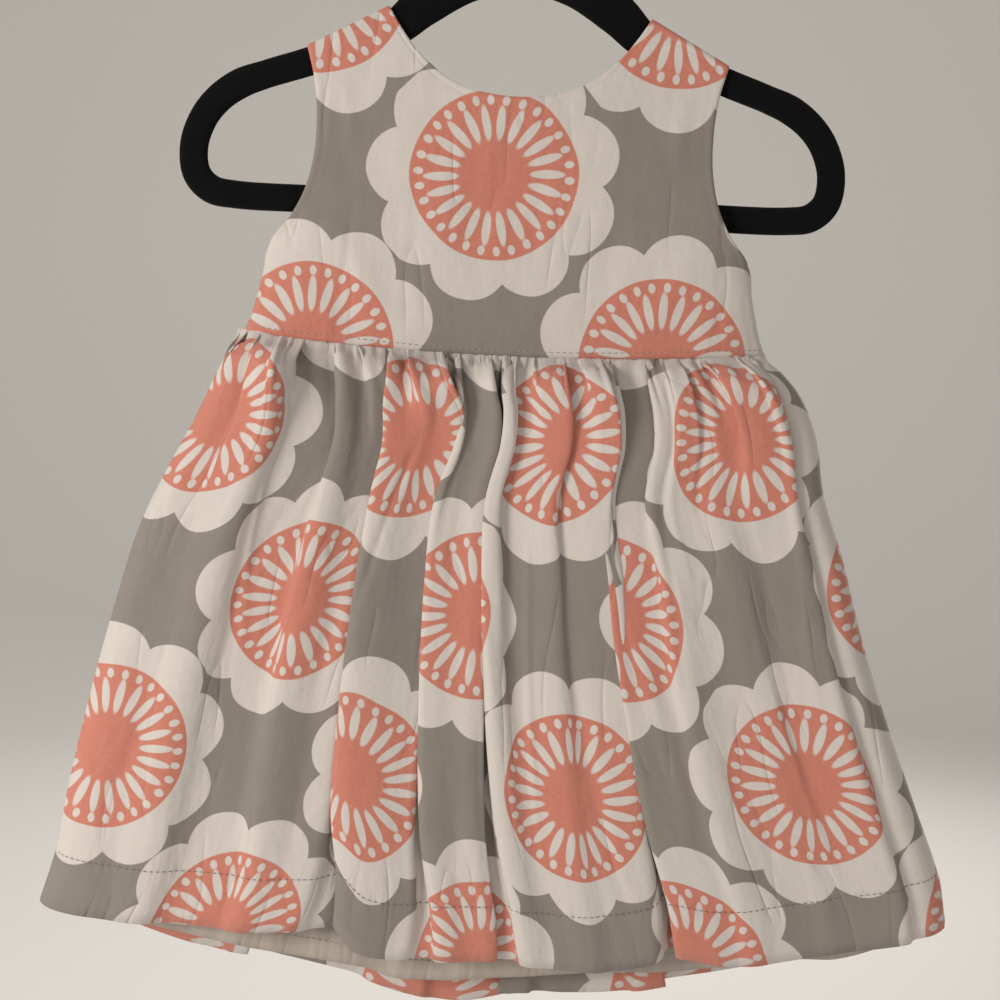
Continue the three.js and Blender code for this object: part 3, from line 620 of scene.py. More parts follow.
BACK_FOLDS = table(
    FOLD_COLUMNS,
    (0.06, 0.06, 14, 70, 90, 110, 1, 0),
    (0.15, 0.16, 12, 110, 70, 30, 0.3, 1),
    (0.24, 0.23, 20, 120, 140, 130, 1, 0.15),
    (0.32, 0.33, 12, 130, 100, 30, 0.2, 1),
    (0.4, 0.42, 13, 130, 110, 40, 1, 0.3),
    (0.48, 0.48, 22, 120, 150, 140, 0, 1),
    (0.56, 0.57, 12, 130, 110, 36, 1, 0.4),
    (0.64, 0.65, 14, 120, 100, 30, 0.2, 1),
    (0.72, 0.74, 22, 110, 145, 140, 1, 0.1),
    (0.81, 0.82, 12, 120, 80, 24, 0.3, 1),
    (0.9, 0.9, 15, 80, 100, 110, 0.1, 1),
)
FRONT_HEM_LIFT = table(
    "across lift",
    (0, 0),
    (0.08, 3.5),
    (0.14, 6.5),
    (0.2, 9),
    (0.29, 15),
    (0.312, 17),
    (0.337, 4),
    (0.38, 1),
    (0.5, 1.5),
    (0.6, -3),
    (0.65, 0),
    (0.69, 7),
    (0.72, 6),
    (0.755, 2.5),
    (0.79, -2.5),
    (0.9, -1),
    (1, 1),
)
BACK_HEM_LIFT = table(
    "across lift",
    (0, -2),
    (0.15, -1),
    (0.26, 4),
    (0.32, 2.5),
    (0.38, -7),
    (0.44, -11),
    (0.51, -3),
    (0.62, -5.5),
    (0.75, -1),
    (1, 0),
)
print("long folds:", len(FRONT_FOLDS), "in front and", len(BACK_FOLDS), "behind")

# %% [markdown]
# The dress lies nearly flat, so its folds are pressed: the cloth between them is level, and each
# fold turns back under itself within a finger's width. Seen from above, that is a slope that grows
# past a right angle and comes back. A gather at the seam is the same thing, only smaller, and it
# fades out further down. Every gather rises or falls at random, as a machine's ruffles do.

# %% One gathered panel
class GatheredPanel:
    """Where each point of a gathered panel's cut lies on the hanging skirt."""

    STEPS = 2400
    MIDDLE = 0.45

    def __init__(self, side, cut_width, gathers, folds, kind, extra_length, hem_lift):
        self.side = side
        self.cut_width = cut_width
        self.folds = folds
        self.kind = kind
        self.extra_length = extra_length
        self.lift = reader(hem_lift, "across", "lift")
        self.share_of_step = (np.arange(self.STEPS) + 0.5) / self.STEPS
        self.cells = self.gather_cells(gathers)
        folded = sum(self.fold_slope(fold, self.share_of_step, self.MIDDLE) for fold in folds)
        self.fold_cover = np.clip(self.averaged(np.cos(folded)), LEAST_COVER, 1)
        self.rows = {}

    def averaged(self, values, share=1.0):
        """A running mean over a hand's width of cloth."""
        half = round(COVER_WINDOW * share / self.cut_width * self.STEPS / 2)
        padded = np.pad(values, half, mode="edge")
        sums = np.concatenate([[0], np.cumsum(padded)])
        return (sums[2 * half + 1 :] - sums[: -2 * half - 1]) / (2 * half + 1)

    def gather_cells(self, count):
        index = np.arange(count)
        widths = GATHER_WIDTH["least"] + GATHER_WIDTH["spread"] * uneven(index, self.kind)
        starts = np.concatenate([[0], np.cumsum(widths)[:-1]]) / widths.sum()
        long_ones = uneven(index, self.kind + 1) ** 1.6
        low, high = GATHER_SHARE
        near, far = GATHER_REACH
        steepness = GATHER_STEEPNESS["least"] + GATHER_STEEPNESS["spread"] * uneven(index, self.kind + 2)
        return {
            "start": starts,
            "width": widths / widths.sum(),
            "reach": (near + (far - near) * long_ones) / SKIRT_LENGTH,
            "slope": steepness * GATHER_SLOPE,
            "share": low + (high - low) * uneven(index, self.kind + 3),
            "turn": np.where((index + np.round(uneven(index, self.kind + 4))) % 2 > 0, 1, -1),
        }

    def gather_slope(self, across, down):
        cells = self.cells
        i = np.searchsorted(cells["start"], across, side="right") - 1
        fade = np.exp(-((down / cells["reach"][i]) ** 1.5))
        place = (across - cells["start"][i]) / cells["width"][i] / cells["share"][i]
        inside = np.where(place < 1, np.sin(np.pi * place), 0)
        return cells["turn"][i] * cells["slope"][i] * fade * inside

    def fold_slope(self, fold, across, down):
        centre = fold["top"] + (fold["hem"] - fold["top"]) * down
        width = fold["width"] * (1 + 0.2 * down + 2 * down * (1 - down))
        place = np.clip((across - centre) * self.cut_width / width, -1, 1)
        stations = (0, self.MIDDLE, 1)
        size = math.radians(np.interp(down, stations, (fold["waist"], fold["middle"], fold["end"])))
        share = np.where(place < 0, fold["rise"], fold["fall"])
        return -size * share * np.sin(np.pi * place)

    def slopes(self, down):
        across = self.share_of_step
        slope = self.gather_slope(across, down)
        for fold in self.folds:
            slope = slope + self.fold_slope(fold, across, down)
        soft = SOFT_WAVES["slope"] * min(down / SOFT_WAVES["full_at"], 1)
        turns = SOFT_WAVES["count"] * across + SOFT_WAVES["drift"] * down + self.kind
        return slope + soft * np.sin(2 * np.pi * turns)

    def wanted_cover(self, down):
        """The share of the cloth that shows at each place, so that threads hang straight."""
        seen = read_skirt["rightX"](down) - read_skirt["leftX"](down)
        gathered = 1 - SEAM_GATHERING * math.exp(-down / SEAM_GATHERING_REACH)
        wanted = seen / self.cut_width / gathered
        low, high = 0.0, 6.0
        for _ in range(40):
            power = (low + high) / 2
            if (self.fold_cover**power).mean() > wanted:
                low = power
            else:
                high = power
        return self.fold_cover**low * gathered

    def solve_row(self, down):
        """Shares of the seen width and fold heights along one level line of the cloth."""
        slopes = self.slopes(down)
        run = self.cut_width / self.STEPS
        wanted = self.wanted_cover(down)
        tightness = np.ones(self.STEPS)
        for _ in range(80):
            turned = np.clip(slopes * tightness, -STEEPEST, STEEPEST)
            error = self.averaged(np.cos(turned)) - wanted
            tightness = np.clip(self.averaged(tightness + 0.6 * error, 0.5), *TIGHTNESS_LIMITS)
        turned = np.clip(slopes * tightness, -STEEPEST, STEEPEST)
        along = np.concatenate([[0], np.cumsum(np.cos(turned))])
        height = np.concatenate([[0], np.cumsum(np.sin(turned))]) * run
        return along / along[-1], levelled(height, round(LEVELLING_WINDOW / run / 2))

    def row(self, down):
        key = round(float(down), 7)
        if key not in self.rows:
            self.rows[key] = self.solve_row(key)
        return self.rows[key]

    def columns(self, count):
        """Places across the cut, closer together where the cloth turns sharply."""
        bend = np.full(self.STEPS + 1, 0.35)
        for down in (0.0, 0.05, 0.15, 0.4, 0.7, 1.0):
            bend[1:-1] += np.abs(np.diff(self.slopes(down))) * self.STEPS / 500
        room = np.convolve(bend, np.ones(15) / 15, mode="same") + 0.15
        total = np.concatenate([[0], np.cumsum((room[1:] + room[:-1]) / 2)])
        stations = np.linspace(0, 1, self.STEPS + 1)
        return np.interp(np.linspace(0, 1, count + 1), total / total[-1], stations)

    def place(self, across, down):
        """Points of the panel's inner face, for arrays of both coordinates."""
        share = np.empty_like(across)
        height = np.empty_like(across)
        stations = np.linspace(0, 1, self.STEPS + 1)
        for level in np.unique(down):
            here = down == level
            shares, heights = self.row(level)
            share[here] = np.interp(across[here], stations, shares)
            height[here] = np.interp(across[here], stations, heights)
        x, z, depth = skirt_base(share, down, self.extra_length)
        from_seam = down * SKIRT_LENGTH
        pinch = PINCH_AT_SEAM * smooth_step(from_seam, *PINCH_START)
        pinch = pinch + (1 - PINCH_AT_SEAM) * np.clip(from_seam / PINCH_LENGTH, 0, 1)
        full = np.exp(-(((from_seam - FULLEST_AT) / FULL_REACH) ** 2))
        pinch = pinch * (1 + FULLER_BELOW_SEAM * full)
        to_side = np.minimum(share, 1 - share) * MEAN_WIDTH
        header = seam_header(across * self.cut_width, from_seam)
        depth = depth + (height * FOLD_RELIEF * pinch + header) * rounded(to_side, CALM_AT_SIDE)
        tuck = SEAM_TUCK * (1 - smooth_step(from_seam, 0, SEAM_TUCK + 0.6))
        z = z + tuck - WAIST_GAP + self.lift(across) * smooth_step(down, 0.3, 1)
        return np.stack([x, self.side * depth, z], axis=-1)


# %% [markdown]
# Where the gathers meet the bodice, the cloth is caught by the stitches and puffs out just below
# them in small lumps. Its very edge turns in and up behind the bodice's edge.

# %% The puffed edge below the waist seam
SEAM_TUCK = 2.4
PUFF_PLACE = 2.6
PUFF_SPREAD = 1.7
PUFF_HEIGHT = 2.1
RIB_PITCH = 1.9
RIB_REACH = 12
RIB_HEIGHT = 1.1
EDGE_TURNED_IN = 1.9


def seam_header(cut_x, from_seam):
    """Lumps and ribs of the cloth just below its gathered edge, and the edge itself turned in."""
    lumps = np.sin(cut_x / 1.3 + 1.5 * np.sin(cut_x / 11)) + 0.6 * np.sin(cut_x / 0.83 + 2)
    puff = (0.55 + 0.45 * lumps) * np.exp(-(((from_seam - PUFF_PLACE) / PUFF_SPREAD) ** 2))
    ribs = np.sin(cut_x / RIB_PITCH + 2.2 * np.sin(cut_x / 17)) + 0.7 * np.sin(cut_x / 2.9)
    fading = np.exp(-from_seam / RIB_REACH) * smooth_step(from_seam, 1, 4)
    inward = 1 - smooth_step(from_seam, 0, 2)
    return PUFF_HEIGHT * puff + RIB_HEIGHT * ribs * fading - EDGE_TURNED_IN * inward


def levelled(heights, reach):
    """Heights above their own running mean, raised so that the lowest is 0."""
    sums = np.concatenate([[0], np.cumsum(heights)])
    i = np.arange(len(heights))
    room = np.minimum(np.minimum(reach, i), len(heights) - 1 - i)
    above = heights - (sums[i + room + 1] - sums[i - room]) / (2 * room + 1)
    return above - above.min()


def skirt_base(share, down, extra_length):
    """The unfolded skirt: its front view and its stand-off from the middle plane."""
    left = read_skirt["leftX"](down)
    right = read_skirt["rightX"](down)
    edge = read_skirt["leftZ"](down) * (1 - share) + read_skirt["rightZ"](down) * share
    bow = 1 - np.abs(2 * share - 1) ** 2.2
    z = edge - read_skirt["sag"](down) * bow - extra_length * down * bow
    to_edge = np.minimum(share, 1 - share) * (right - left)
    depth = SEAM_GAP / 2 + read_skirt["depth"](down) * rounded(to_edge, SIDE_ROUNDING)
    return left + (right - left) * share, z, depth


# %% [markdown]
# ### The bodice
# The bodice is not gathered, so its panels are the cut itself, laid over the hanger. Four edges
# bound it: shoulders and neckline on top, an armhole and side seam on each side, and the waist. A
# Coons patch fills the space between four edges: it blends them so that the grid follows all four.

# %% Smooth edges
def smooth_edge(points, samples=60):
    """Closely spaced points of a smooth curve through a few points (centripetal Catmull-Rom)."""
    p = np.array(points, float)
    p = np.vstack([2 * p[0] - p[1], p, 2 * p[-1] - p[-2]])
    fine = []
    for k in range(1, len(p) - 2):
        gaps = [max(np.hypot(*(p[k + j] - p[k + j - 1])) ** 0.5, 1e-4) for j in (0, 1, 2)]
        first = (p[k] - p[k - 1]) / gaps[0] - (p[k + 1] - p[k - 1]) / (gaps[0] + gaps[1])
        first = (first + (p[k + 1] - p[k]) / gaps[1]) * gaps[1]
        second = (p[k + 1] - p[k]) / gaps[1] - (p[k + 2] - p[k]) / (gaps[1] + gaps[2])
        second = (second + (p[k + 2] - p[k + 1]) / gaps[2]) * gaps[1]
        t = np.linspace(0, 1, samples, endpoint=False)[:, None]
        rise = p[k + 1] - p[k]
        bend = (first - rise) * (1 - t) + (rise - second) * t
        fine.append(p[k] + rise * t + t * (1 - t) * bend)
    return np.vstack([*fine, p[-2:-1]])


def edge_reader(points):
    """Reads a smooth edge at a share of its length."""
    fine = smooth_edge(points)
    lengths = np.concatenate([[0], np.cumsum(np.hypot(*np.diff(fine, axis=0).T))])
    return lambda share: (
        np.interp(share, lengths / lengths[-1], fine[:, 0]),
        np.interp(share, lengths / lengths[-1], fine[:, 1]),
    )


def distance_to_line(x, z, a, b):
    dx, dz = b[0] - a[0], b[1] - a[1]
    along = np.clip(((x - a[0]) * dx + (z - a[1]) * dz) / (dx * dx + dz * dz), 0, 1)
    return np.hypot(x - a[0] - along * dx, z - a[1] - along * dz)


# %% [markdown]
# The bodice lies closed at the straps and at the side seams, and it stands off most at the chest.
# The back is cut in two halves that lap at the centre, so the outer half rises by a little more
# than the thickness of the cloth where it crosses the inner one.

# %% One bodice panel
BODICE_DEPTH = {"strap": 4.4, "chest": 8, "from": 8, "at": 90}
CLOTH = 1.1
LAP_AIR = 0.6
LAP_HALF_WIDTH = 9
LAP_RISE = (16, 4)
SEAM_CLOSED = 0.3


class BodicePanel:
    """Where each point of the bodice's cut lies: front (side -1) or back (side 1)."""

    def __init__(self, side, lapped=False):
        self.side = side
        self.lapped = lapped
        drop = 0 if side < 0 else BACK_NECK_DROP
        last = len(FRONT_NECK) - 1
        right = [(x, z - drop * (1 - i / last)) for i, (x, z) in enumerate(FRONT_NECK)]
        left = [(-x, z) for x, z in reversed(right[1:])]
        self.neck = edge_reader(left + right)
        self.side_edge = edge_reader(ARMHOLE + SIDE_SEAM[1:])
        self.neck_point = right[-1]

    def top(self, across):
        out = np.abs(across - 0.5) * 2
        start = 1 - 2 * STRAP_SHARE
        t = np.clip((out - start) / (1 - start), 0, 1)
        strap_x = self.neck_point[0] + (STRAP_OUTER[0] - self.neck_point[0]) * t
        strap_z = self.neck_point[1] + (STRAP_OUTER[1] - self.neck_point[1]) * t
        neck_x, neck_z = self.neck(np.clip((across - STRAP_SHARE) / (1 - 2 * STRAP_SHARE), 0, 1))
        on_strap = out > start
        x = np.where(on_strap, np.sign(across - 0.5) * strap_x, neck_x)
        return x, np.where(on_strap, strap_z, neck_z)

    def flat(self, across, down):
        top_x, top_z = self.top(across)
        side_x, side_z = self.side_edge(down)
        waist_x = WAIST_CORNER[0] * (2 * across - 1)
        waist_z = WAIST_CORNER[1] - WAIST_DIP * (1 - (waist_x / WAIST_CORNER[0]) ** 2)
        mixed_x = (1 - down) * STRAP_OUTER[0] + down * WAIST_CORNER[0]
        mixed_z = (1 - down) * STRAP_OUTER[1] + down * WAIST_CORNER[1]
        x = (1 - down) * top_x + down * waist_x + (side_x - mixed_x) * (2 * across - 1)
        z = (1 - down) * top_z + down * waist_z + (side_z - mixed_z)
        return x, z

    def place(self, across, down):
        x, z = self.flat(across, down)
        top = distance_to_line(np.abs(x), z, FRONT_NECK[-1], STRAP_OUTER)
        parts = zip(SIDE_SEAM, SIDE_SEAM[1:])
        side = np.min([distance_to_line(np.abs(x), z, a, b) for a, b in parts], axis=0)
        side = np.maximum(side - SEAM_CLOSED, 0)
        full = smooth_step(top, BODICE_DEPTH["from"], BODICE_DEPTH["at"])
        depth = BODICE_DEPTH["strap"] * (1 - full) + BODICE_DEPTH["chest"] * full
        depth = SEAM_GAP / 2 + depth * rounded(side, SIDE_ROUNDING) * rounded(top, STRAP_ROUNDING)
        if self.lapped:
            rise = smooth_step(x, -LAP_HALF_WIDTH - LAP_RISE[0], -LAP_HALF_WIDTH - LAP_RISE[1])
            depth = depth + (CLOTH + LAP_AIR) * rise
        return np.stack([x, self.side * depth, z + HANGER_LINE], axis=-1)


# %% [markdown]
# ### The lining
# The plain lining hangs inside the skirt. It is cut straight, so it is nearly flat, and it is a
# little narrower than the skirt and longer than the skirt's front, so that its hem shows.

# %% One lining panel
LINING_INSET = 5
LINING_EXTRA_LENGTH = 14
LINING_ROUNDING = 40
LINING_HEM_DEPTH = 11
LINING_ROWS = table("down depth", (0, 6.7), (0.08, 4.6), (0.25, 3.8), (1, 3.6))
LINING_HEM_LIFT = table(
    "across lift",
    (0, 0),
    (0.1, 4),
    (0.3, 3.5),
    (0.36, 1),
    (0.385, -2.5),
    (0.43, -2.5),
    (0.5, 0),
    (0.6, 3),
    (0.7, 2),
    (0.84, 0),
    (0.89, -4),
    (1, 0),
)


class LiningPanel:
    def __init__(self, side):
        self.side = side
        self.depth = reader(LINING_ROWS, "down", "depth")
        self.lift = reader(LINING_HEM_LIFT, "across", "lift")

    def place(self, across, down):
        half = (read_skirt["rightX"](down) - read_skirt["leftX"](down)) / 2
        inset = LINING_INSET / half / 2
        x, z, _ = skirt_base(inset + (1 - 2 * inset) * across, down, LINING_EXTRA_LENGTH)
        to_edge = np.minimum(across, 1 - across) * 2 * half
        depth = SEAM_GAP / 2 + self.depth(down) * rounded(to_edge, LINING_ROUNDING)
        z = z - WAIST_GAP + self.lift(across) * smooth_step(down, 0.3, 1)
        return np.stack([x, self.side * depth, z], axis=-1)


# %% [markdown]
# ## Making a panel's mesh
# `bmesh.ops.create_grid` makes the flat cut. Its corners run from -1 to 1, so each vertex tells
# its own place on the cut. The mesh keeps that place as a UV map in metres, then every vertex
# moves to its place on the dress. Solidify gives the cloth its thickness, with the wrong side's
# material on the inner face.

# %% From grid to cloth
CLOTH_LIFT = 0.6
SHELL = 0.45


def finish_object(mesh, name, materials):
    piece = bpy.data.objects.new(name, mesh)
    bpy.context.scene.collection.objects.link(piece)
    for material in materials:
        mesh.materials.append(material)
    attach(piece, "root")
    return piece


def cloth_mesh(name, panel, columns, rows, across_range, top_crowding):
    """A grid of the flat cut, moved onto the panel's inner face."""
    spread = panel.columns(columns) if hasattr(panel, "columns") else np.linspace(0, 1, columns + 1)
    sheet = bmesh.new()
    sheet.loops.layers.uv.new("cut")
    bmesh.ops.create_grid(sheet, x_segments=columns, y_segments=rows, size=1)
    if panel.side > 0:
        bmesh.ops.reverse_faces(sheet, faces=sheet.faces)
    mesh = bpy.data.meshes.new(name)
    sheet.to_mesh(mesh)
    sheet.free()
    flat = np.empty(len(mesh.vertices) * 3)
    mesh.vertices.foreach_get("co", flat)
    flat = flat.reshape(-1, 3)
    column = np.round((flat[:, 0] + 1) / 2 * columns).astype(int)
    across = across_range[0] + (across_range[1] - across_range[0]) * spread[column]
    down = np.round(np.clip((1 - flat[:, 1]) / 2, 0, 1), 6) ** top_crowding
    points = panel.place(across, down)
    mesh.vertices.foreach_set("co", (points * MM).ravel())
    mesh.update()
    return mesh, across, down


def stand_off(mesh, distance):
    """Moves every vertex along its normal by distances in millimetres."""
    normals = np.empty(len(mesh.vertices) * 3)
    mesh.vertex_normals.foreach_get("vector", normals)
    places = np.empty(len(mesh.vertices) * 3)
    mesh.vertices.foreach_get("co", places)
    moved = places.reshape(-1, 3) + normals.reshape(-1, 3) * np.reshape(distance, (-1, 1)) * MM
    mesh.vertices.foreach_set("co", moved.ravel())
    mesh.update()


def write_cut_map(mesh, cut_x, cut_y):
    """Keeps the place on the flat cut, given in millimetres, as a UV map in metres."""
    corners = np.empty(len(mesh.loops), int)
    mesh.loops.foreach_get("vertex_index", corners)
    uv = np.stack([cut_x[corners], cut_y[corners]], axis=-1) * MM
    mesh.uv_layers["cut"].data.foreach_set("uv", uv.ravel())


def make_panel(name, node, panel, grid, cut, materials, relief=None):
    """One panel: grid is (columns, rows, across range, crowding); cut maps to the flat cloth."""
    mesh, across, down = cloth_mesh(name, panel, *grid)
    lift = CLOTH_LIFT + (relief(across, down) if relief else 0)
    stand_off(mesh, np.broadcast_to(lift, across.shape))
    write_cut_map(mesh, *cut(across, down))
    mesh.polygons.foreach_set("use_smooth", np.ones(len(mesh.polygons), bool))
    piece = finish_object(mesh, name, materials)
    wall = piece.modifiers.new("cloth thickness", "SOLIDIFY")
    wall.thickness = SHELL * MM
    wall.offset = -1
    wall.material_offset = 1
    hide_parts(node)
    print(name, len(mesh.polygons), "faces")
    return piece


# %% [markdown]
# ### Creases
# Folded and worn cloth keeps soft lines. Each one is a row of a table: where it starts and ends on
# the cut, how wide it is, and how far it rises or sinks. They are listed one by one, uneven as real
# ones are, and the hidden sides get similar ones.

# %% Crease tables
CREASE_COLUMNS = "x0 y0 x1 y1 width rise"


def crease_relief(creases, x, y):
    """The sum of soft ridges and troughs at places of the flat cut."""
    total = np.zeros_like(x)
    for crease in creases:
        a, b = (crease["x0"], crease["y0"]), (crease["x1"], crease["y1"])
        away = distance_to_line(x, y, a, b)
        length = math.dist(a, b)
        along = ((x - a[0]) * (b[0] - a[0]) + (y - a[1]) * (b[1] - a[1])) / length**2
        fade = smooth_step(along, -0.05, 0.3) * (1 - smooth_step(along, 0.7, 1.05))
        total += crease["rise"] * fade * np.exp(-((away / crease["width"]) ** 2))
    return total


FRONT_SKIRT_CREASES = table(
    CREASE_COLUMNS,
    (60, 60, 84, 190, 3.1, 1.03),
    (96, 40, 70, 150, 2.5, -0.8),
    (150, 90, 172, 250, 3.7, 0.92),
    (205, 40, 190, 160, 2.5, -0.92),
    (262, 120, 248, 300, 3.1, 0.92),
    (300, 180, 306, 330, 2.5, -0.8),
    (330, 60, 344, 200, 3.1, 1.03),
    (372, 90, 366, 260, 2.5, 0.92),
    (398, 140, 410, 320, 3.7, -0.92),
    (436, 40, 428, 170, 2.5, 0.92),
    (492, 120, 506, 260, 4.3, 1.03),
    (530, 60, 520, 190, 3.1, -0.92),
    (566, 150, 580, 320, 3.7, 0.92),
    (604, 60, 592, 210, 3.1, 0.8),
    (40, 200, 190, 214, 4.3, 0.4),
    (330, 226, 520, 214, 5, 0.4),
)
BACK_SKIRT_CREASES = table(
    CREASE_COLUMNS,
    (48, 70, 66, 220, 3.1, 1.03),
    (110, 60, 98, 180, 3.1, -0.92),
    (176, 120, 190, 300, 3.7, 0.92),
    (246, 50, 236, 210, 3.1, 1.03),
    (300, 110, 318, 280, 3.7, -0.92),
    (352, 60, 346, 240, 3.1, 0.92),
    (432, 130, 420, 310, 3.7, 1.03),
    (500, 60, 516, 200, 3.1, -0.8),
    (566, 110, 560, 290, 3.7, 0.92),
    (90, 214, 300, 226, 5, 0.4),
)
BODICE_CREASES = table(
    CREASE_COLUMNS,
    (-96, -30, -60, -84, 7, 0.9),
    (-112, -52, -70, -92, 6, -0.7),
    (100, -34, 72, -88, 7, 0.8),
    (58, -20, 40, -90, 9, -0.7),
    (-40, 10, -30, -70, 12, 0.7),
    (-92, 44, -84, 6, 5, 0.6),
    (88, 46, 84, 4, 5, 0.6),
    (6, 24, 12, -60, 10, -0.7),
    (-70, -78, 30, -92, 6, 0.5),
)
print("creases:", len(FRONT_SKIRT_CREASES), len(BACK_SKIRT_CREASES), len(BODICE_CREASES))

# %% [markdown]
# ## The four printed panels and the lining
# The cut of the skirt is straight cloth as wide as the gathers need. A bodice panel's cut is its
# own front view. The hem's stitched edge stands a little proud, because two layers lie there.

# %% Materials of the cloth
FRONT_CUT_WIDTH = 640
BACK_CUT_WIDTH = 620
BACK_EXTRA_LENGTH = 27
HEM_PROUD = 0.35
HEM_GROOVE = 0.3
GROOVE_WIDTH = 1.2

outer_print = printed_cloth("printed_poplin", [])
skirt_print = printed_cloth("printed_poplin_skirt", [HEM_DEPTH], crumple=0.55)
bodice_inside = wrong_side("poplin_inside", 0, [])
skirt_inside = wrong_side("poplin_inside_skirt", HEM_DEPTH, [HEM_DEPTH])
# The lining's colour in painted shade and in painted light; long streaks down the cloth mix the two.
LINING_SHADED = (0.235, 0.2, 0.168)
LINING_LIT = (0.4, 0.35, 0.305)
lining_cloth = plain_cloth("lining_cotton", LINING_SHADED, LINING_LIT, [LINING_HEM_DEPTH])


# %% [markdown]
# ### The skirt
# Gathering by machine leaves small sharp tucks just below the seam. They are too narrow for the
# fold tables, so each one is a thin valley in the cloth, with its own place, length and lean.

# %% Skirt panels
TUCK_PITCH = 7.5
TUCK_LENGTH = (14, 70)
TUCK_WIDTH = 1.5
TUCK_DEPTH = 1.6
TUCK_LEAN = 0.3


def tuck_relief(x, y, width):
    """Sharp little tucks below the gathered edge, each with its own length and lean."""
    total = np.zeros_like(x)
    for k in range(round(width / TUCK_PITCH)):
        one, other = (k * 0.618) % 1, (k * 0.414 + 0.3) % 1
        length = TUCK_LENGTH[0] + (TUCK_LENGTH[1] - TUCK_LENGTH[0]) * one**1.5
        middle = (k + 0.15 + 0.7 * other) * TUCK_PITCH + (other - one) * TUCK_LEAN * y
        fading = smooth_step(y, 0.5, 3) * (1 - smooth_step(y, 0.2 * length, length))
        total -= (0.5 + other) * np.exp(-np.abs(x - middle) / TUCK_WIDTH) * fading
    return TUCK_DEPTH * total


def skirt_cut(width, length, shift):
    """Places on the cut: across from the left edge, and up from the lower edge."""
    return lambda across, down: (across * width + shift, (1 - down) * length)


def skirt_relief(width, length, creases):
    def relief(across, down):
        x, y = across * width, down * length
        above_edge = (1 - down) * length
        hem = HEM_PROUD * (1 - smooth_step(above_edge, HEM_DEPTH - 1, HEM_DEPTH + 1))
        groove = HEM_GROOVE * np.exp(-(((above_edge - HEM_DEPTH) / GROOVE_WIDTH) ** 2))
        return crease_relief(creases, x, y) + tuck_relief(x, y, width) + hem - groove

    return relief


FRONT_GATHERS = 29
BACK_GATHERS = 22
FRONT_UNEVENNESS = 3
BACK_UNEVENNESS = 7
BACK_LENGTH = SKIRT_LENGTH + BACK_EXTRA_LENGTH
FRONT_SKIRT_SHIFT = 75
BACK_SKIRT_SHIFT = 118
SKIRT_CROWDING = 1.5
front_skirt = GatheredPanel(
    side=-1,
    cut_width=FRONT_CUT_WIDTH,
    gathers=FRONT_GATHERS,
    folds=FRONT_FOLDS,
    kind=FRONT_UNEVENNESS,
    extra_length=0,
    hem_lift=FRONT_HEM_LIFT,
)
back_skirt = GatheredPanel(
    side=1,
    cut_width=BACK_CUT_WIDTH,
    gathers=BACK_GATHERS,
    folds=BACK_FOLDS,
    kind=BACK_UNEVENNESS,
    extra_length=BACK_EXTRA_LENGTH,
    hem_lift=BACK_HEM_LIFT,
)
skirt_front = make_panel(
    "skirt_front_cloth",
    "skirt_front",
    front_skirt,
    (760, 61, (0, 1), SKIRT_CROWDING),
    skirt_cut(FRONT_CUT_WIDTH, SKIRT_LENGTH, FRONT_SKIRT_SHIFT),
    [skirt_print, skirt_inside],
    skirt_relief(FRONT_CUT_WIDTH, SKIRT_LENGTH, FRONT_SKIRT_CREASES),
)
skirt_back = make_panel(
    "skirt_back_cloth",
    "skirt_back",
    back_skirt,
    (640, 56, (0, 1), SKIRT_CROWDING),
    skirt_cut(BACK_CUT_WIDTH, BACK_LENGTH, BACK_SKIRT_SHIFT),
    [skirt_print, skirt_inside],
    skirt_relief(BACK_CUT_WIDTH, BACK_LENGTH, BACK_SKIRT_CREASES),
)

# %% [markdown]
# ### The bodice's edges
# The neck and armholes are turned in and faced. That shows as a rolled edge, and as a faint line
# where the facing ends behind the cloth. Along the waist a raised band covers the seam allowances.

# %% Bodice panels
BODICE_HEIGHT = 180
SEAM_BAND = (172, 175)
SEAM_BAND_RISE = 0.6
ROLLED_EDGE = 0.5
ROLL_WIDTH = 1.7
FACING_WIDTH = 5.5
FACING_GROOVE = 0.18
FACING_LINE = 1.1
BODICE_CROWDING = 1.8
FRONT_PRINT_SHIFT = (196, 190)
BACK_PRINT_SHIFT = (262, 236)


def bodice_cut(panel, shift):
    def cut(across, down):
        x, z = panel.flat(across, down)
        return x + shift[0], z + shift[1]

    return cut


def bodice_relief(panel):
    def relief(across, down):
        x, z = panel.flat(across, down)
        band = SEAM_BAND_RISE * smooth_step(down * BODICE_HEIGHT, *SEAM_BAND)
        to_side = np.minimum(across, 1 - across) * 2 * WAIST_CORNER[0]
        to_edge = np.minimum(down * BODICE_HEIGHT, to_side)
        rolled = ROLLED_EDGE * (1 - smooth_step(to_edge, 0, ROLL_WIDTH))
        faced = FACING_GROOVE * np.exp(-(((to_edge - FACING_WIDTH) / FACING_LINE) ** 2))
        return crease_relief(BODICE_CREASES, x, z) + band - rolled - faced

    return relief


front_bodice = BodicePanel(-1)
left_back = BodicePanel(1, lapped=True)
right_back = BodicePanel(1)
LAP_SHARE = 0.5 * LAP_HALF_WIDTH / WAIST_CORNER[0]
LEFT_BACK_RANGE = (0, 0.5 + LAP_SHARE)
RIGHT_BACK_RANGE = (0.5 - LAP_SHARE, 1)
for node, panel, across_range, columns, shift in (
    ("bodice_front", front_bodice, (0, 1), 200, FRONT_PRINT_SHIFT),
    ("bodice_back_left", left_back, LEFT_BACK_RANGE, 110, BACK_PRINT_SHIFT),
    ("bodice_back_right", right_back, RIGHT_BACK_RANGE, 110, BACK_PRINT_SHIFT),
):
    piece = make_panel(
        node + "_cloth",
        node,
        panel,
        (columns, 110, across_range, BODICE_CROWDING),
        bodice_cut(panel, shift),
        [outer_print, bodice_inside],
        bodice_relief(panel),
    )

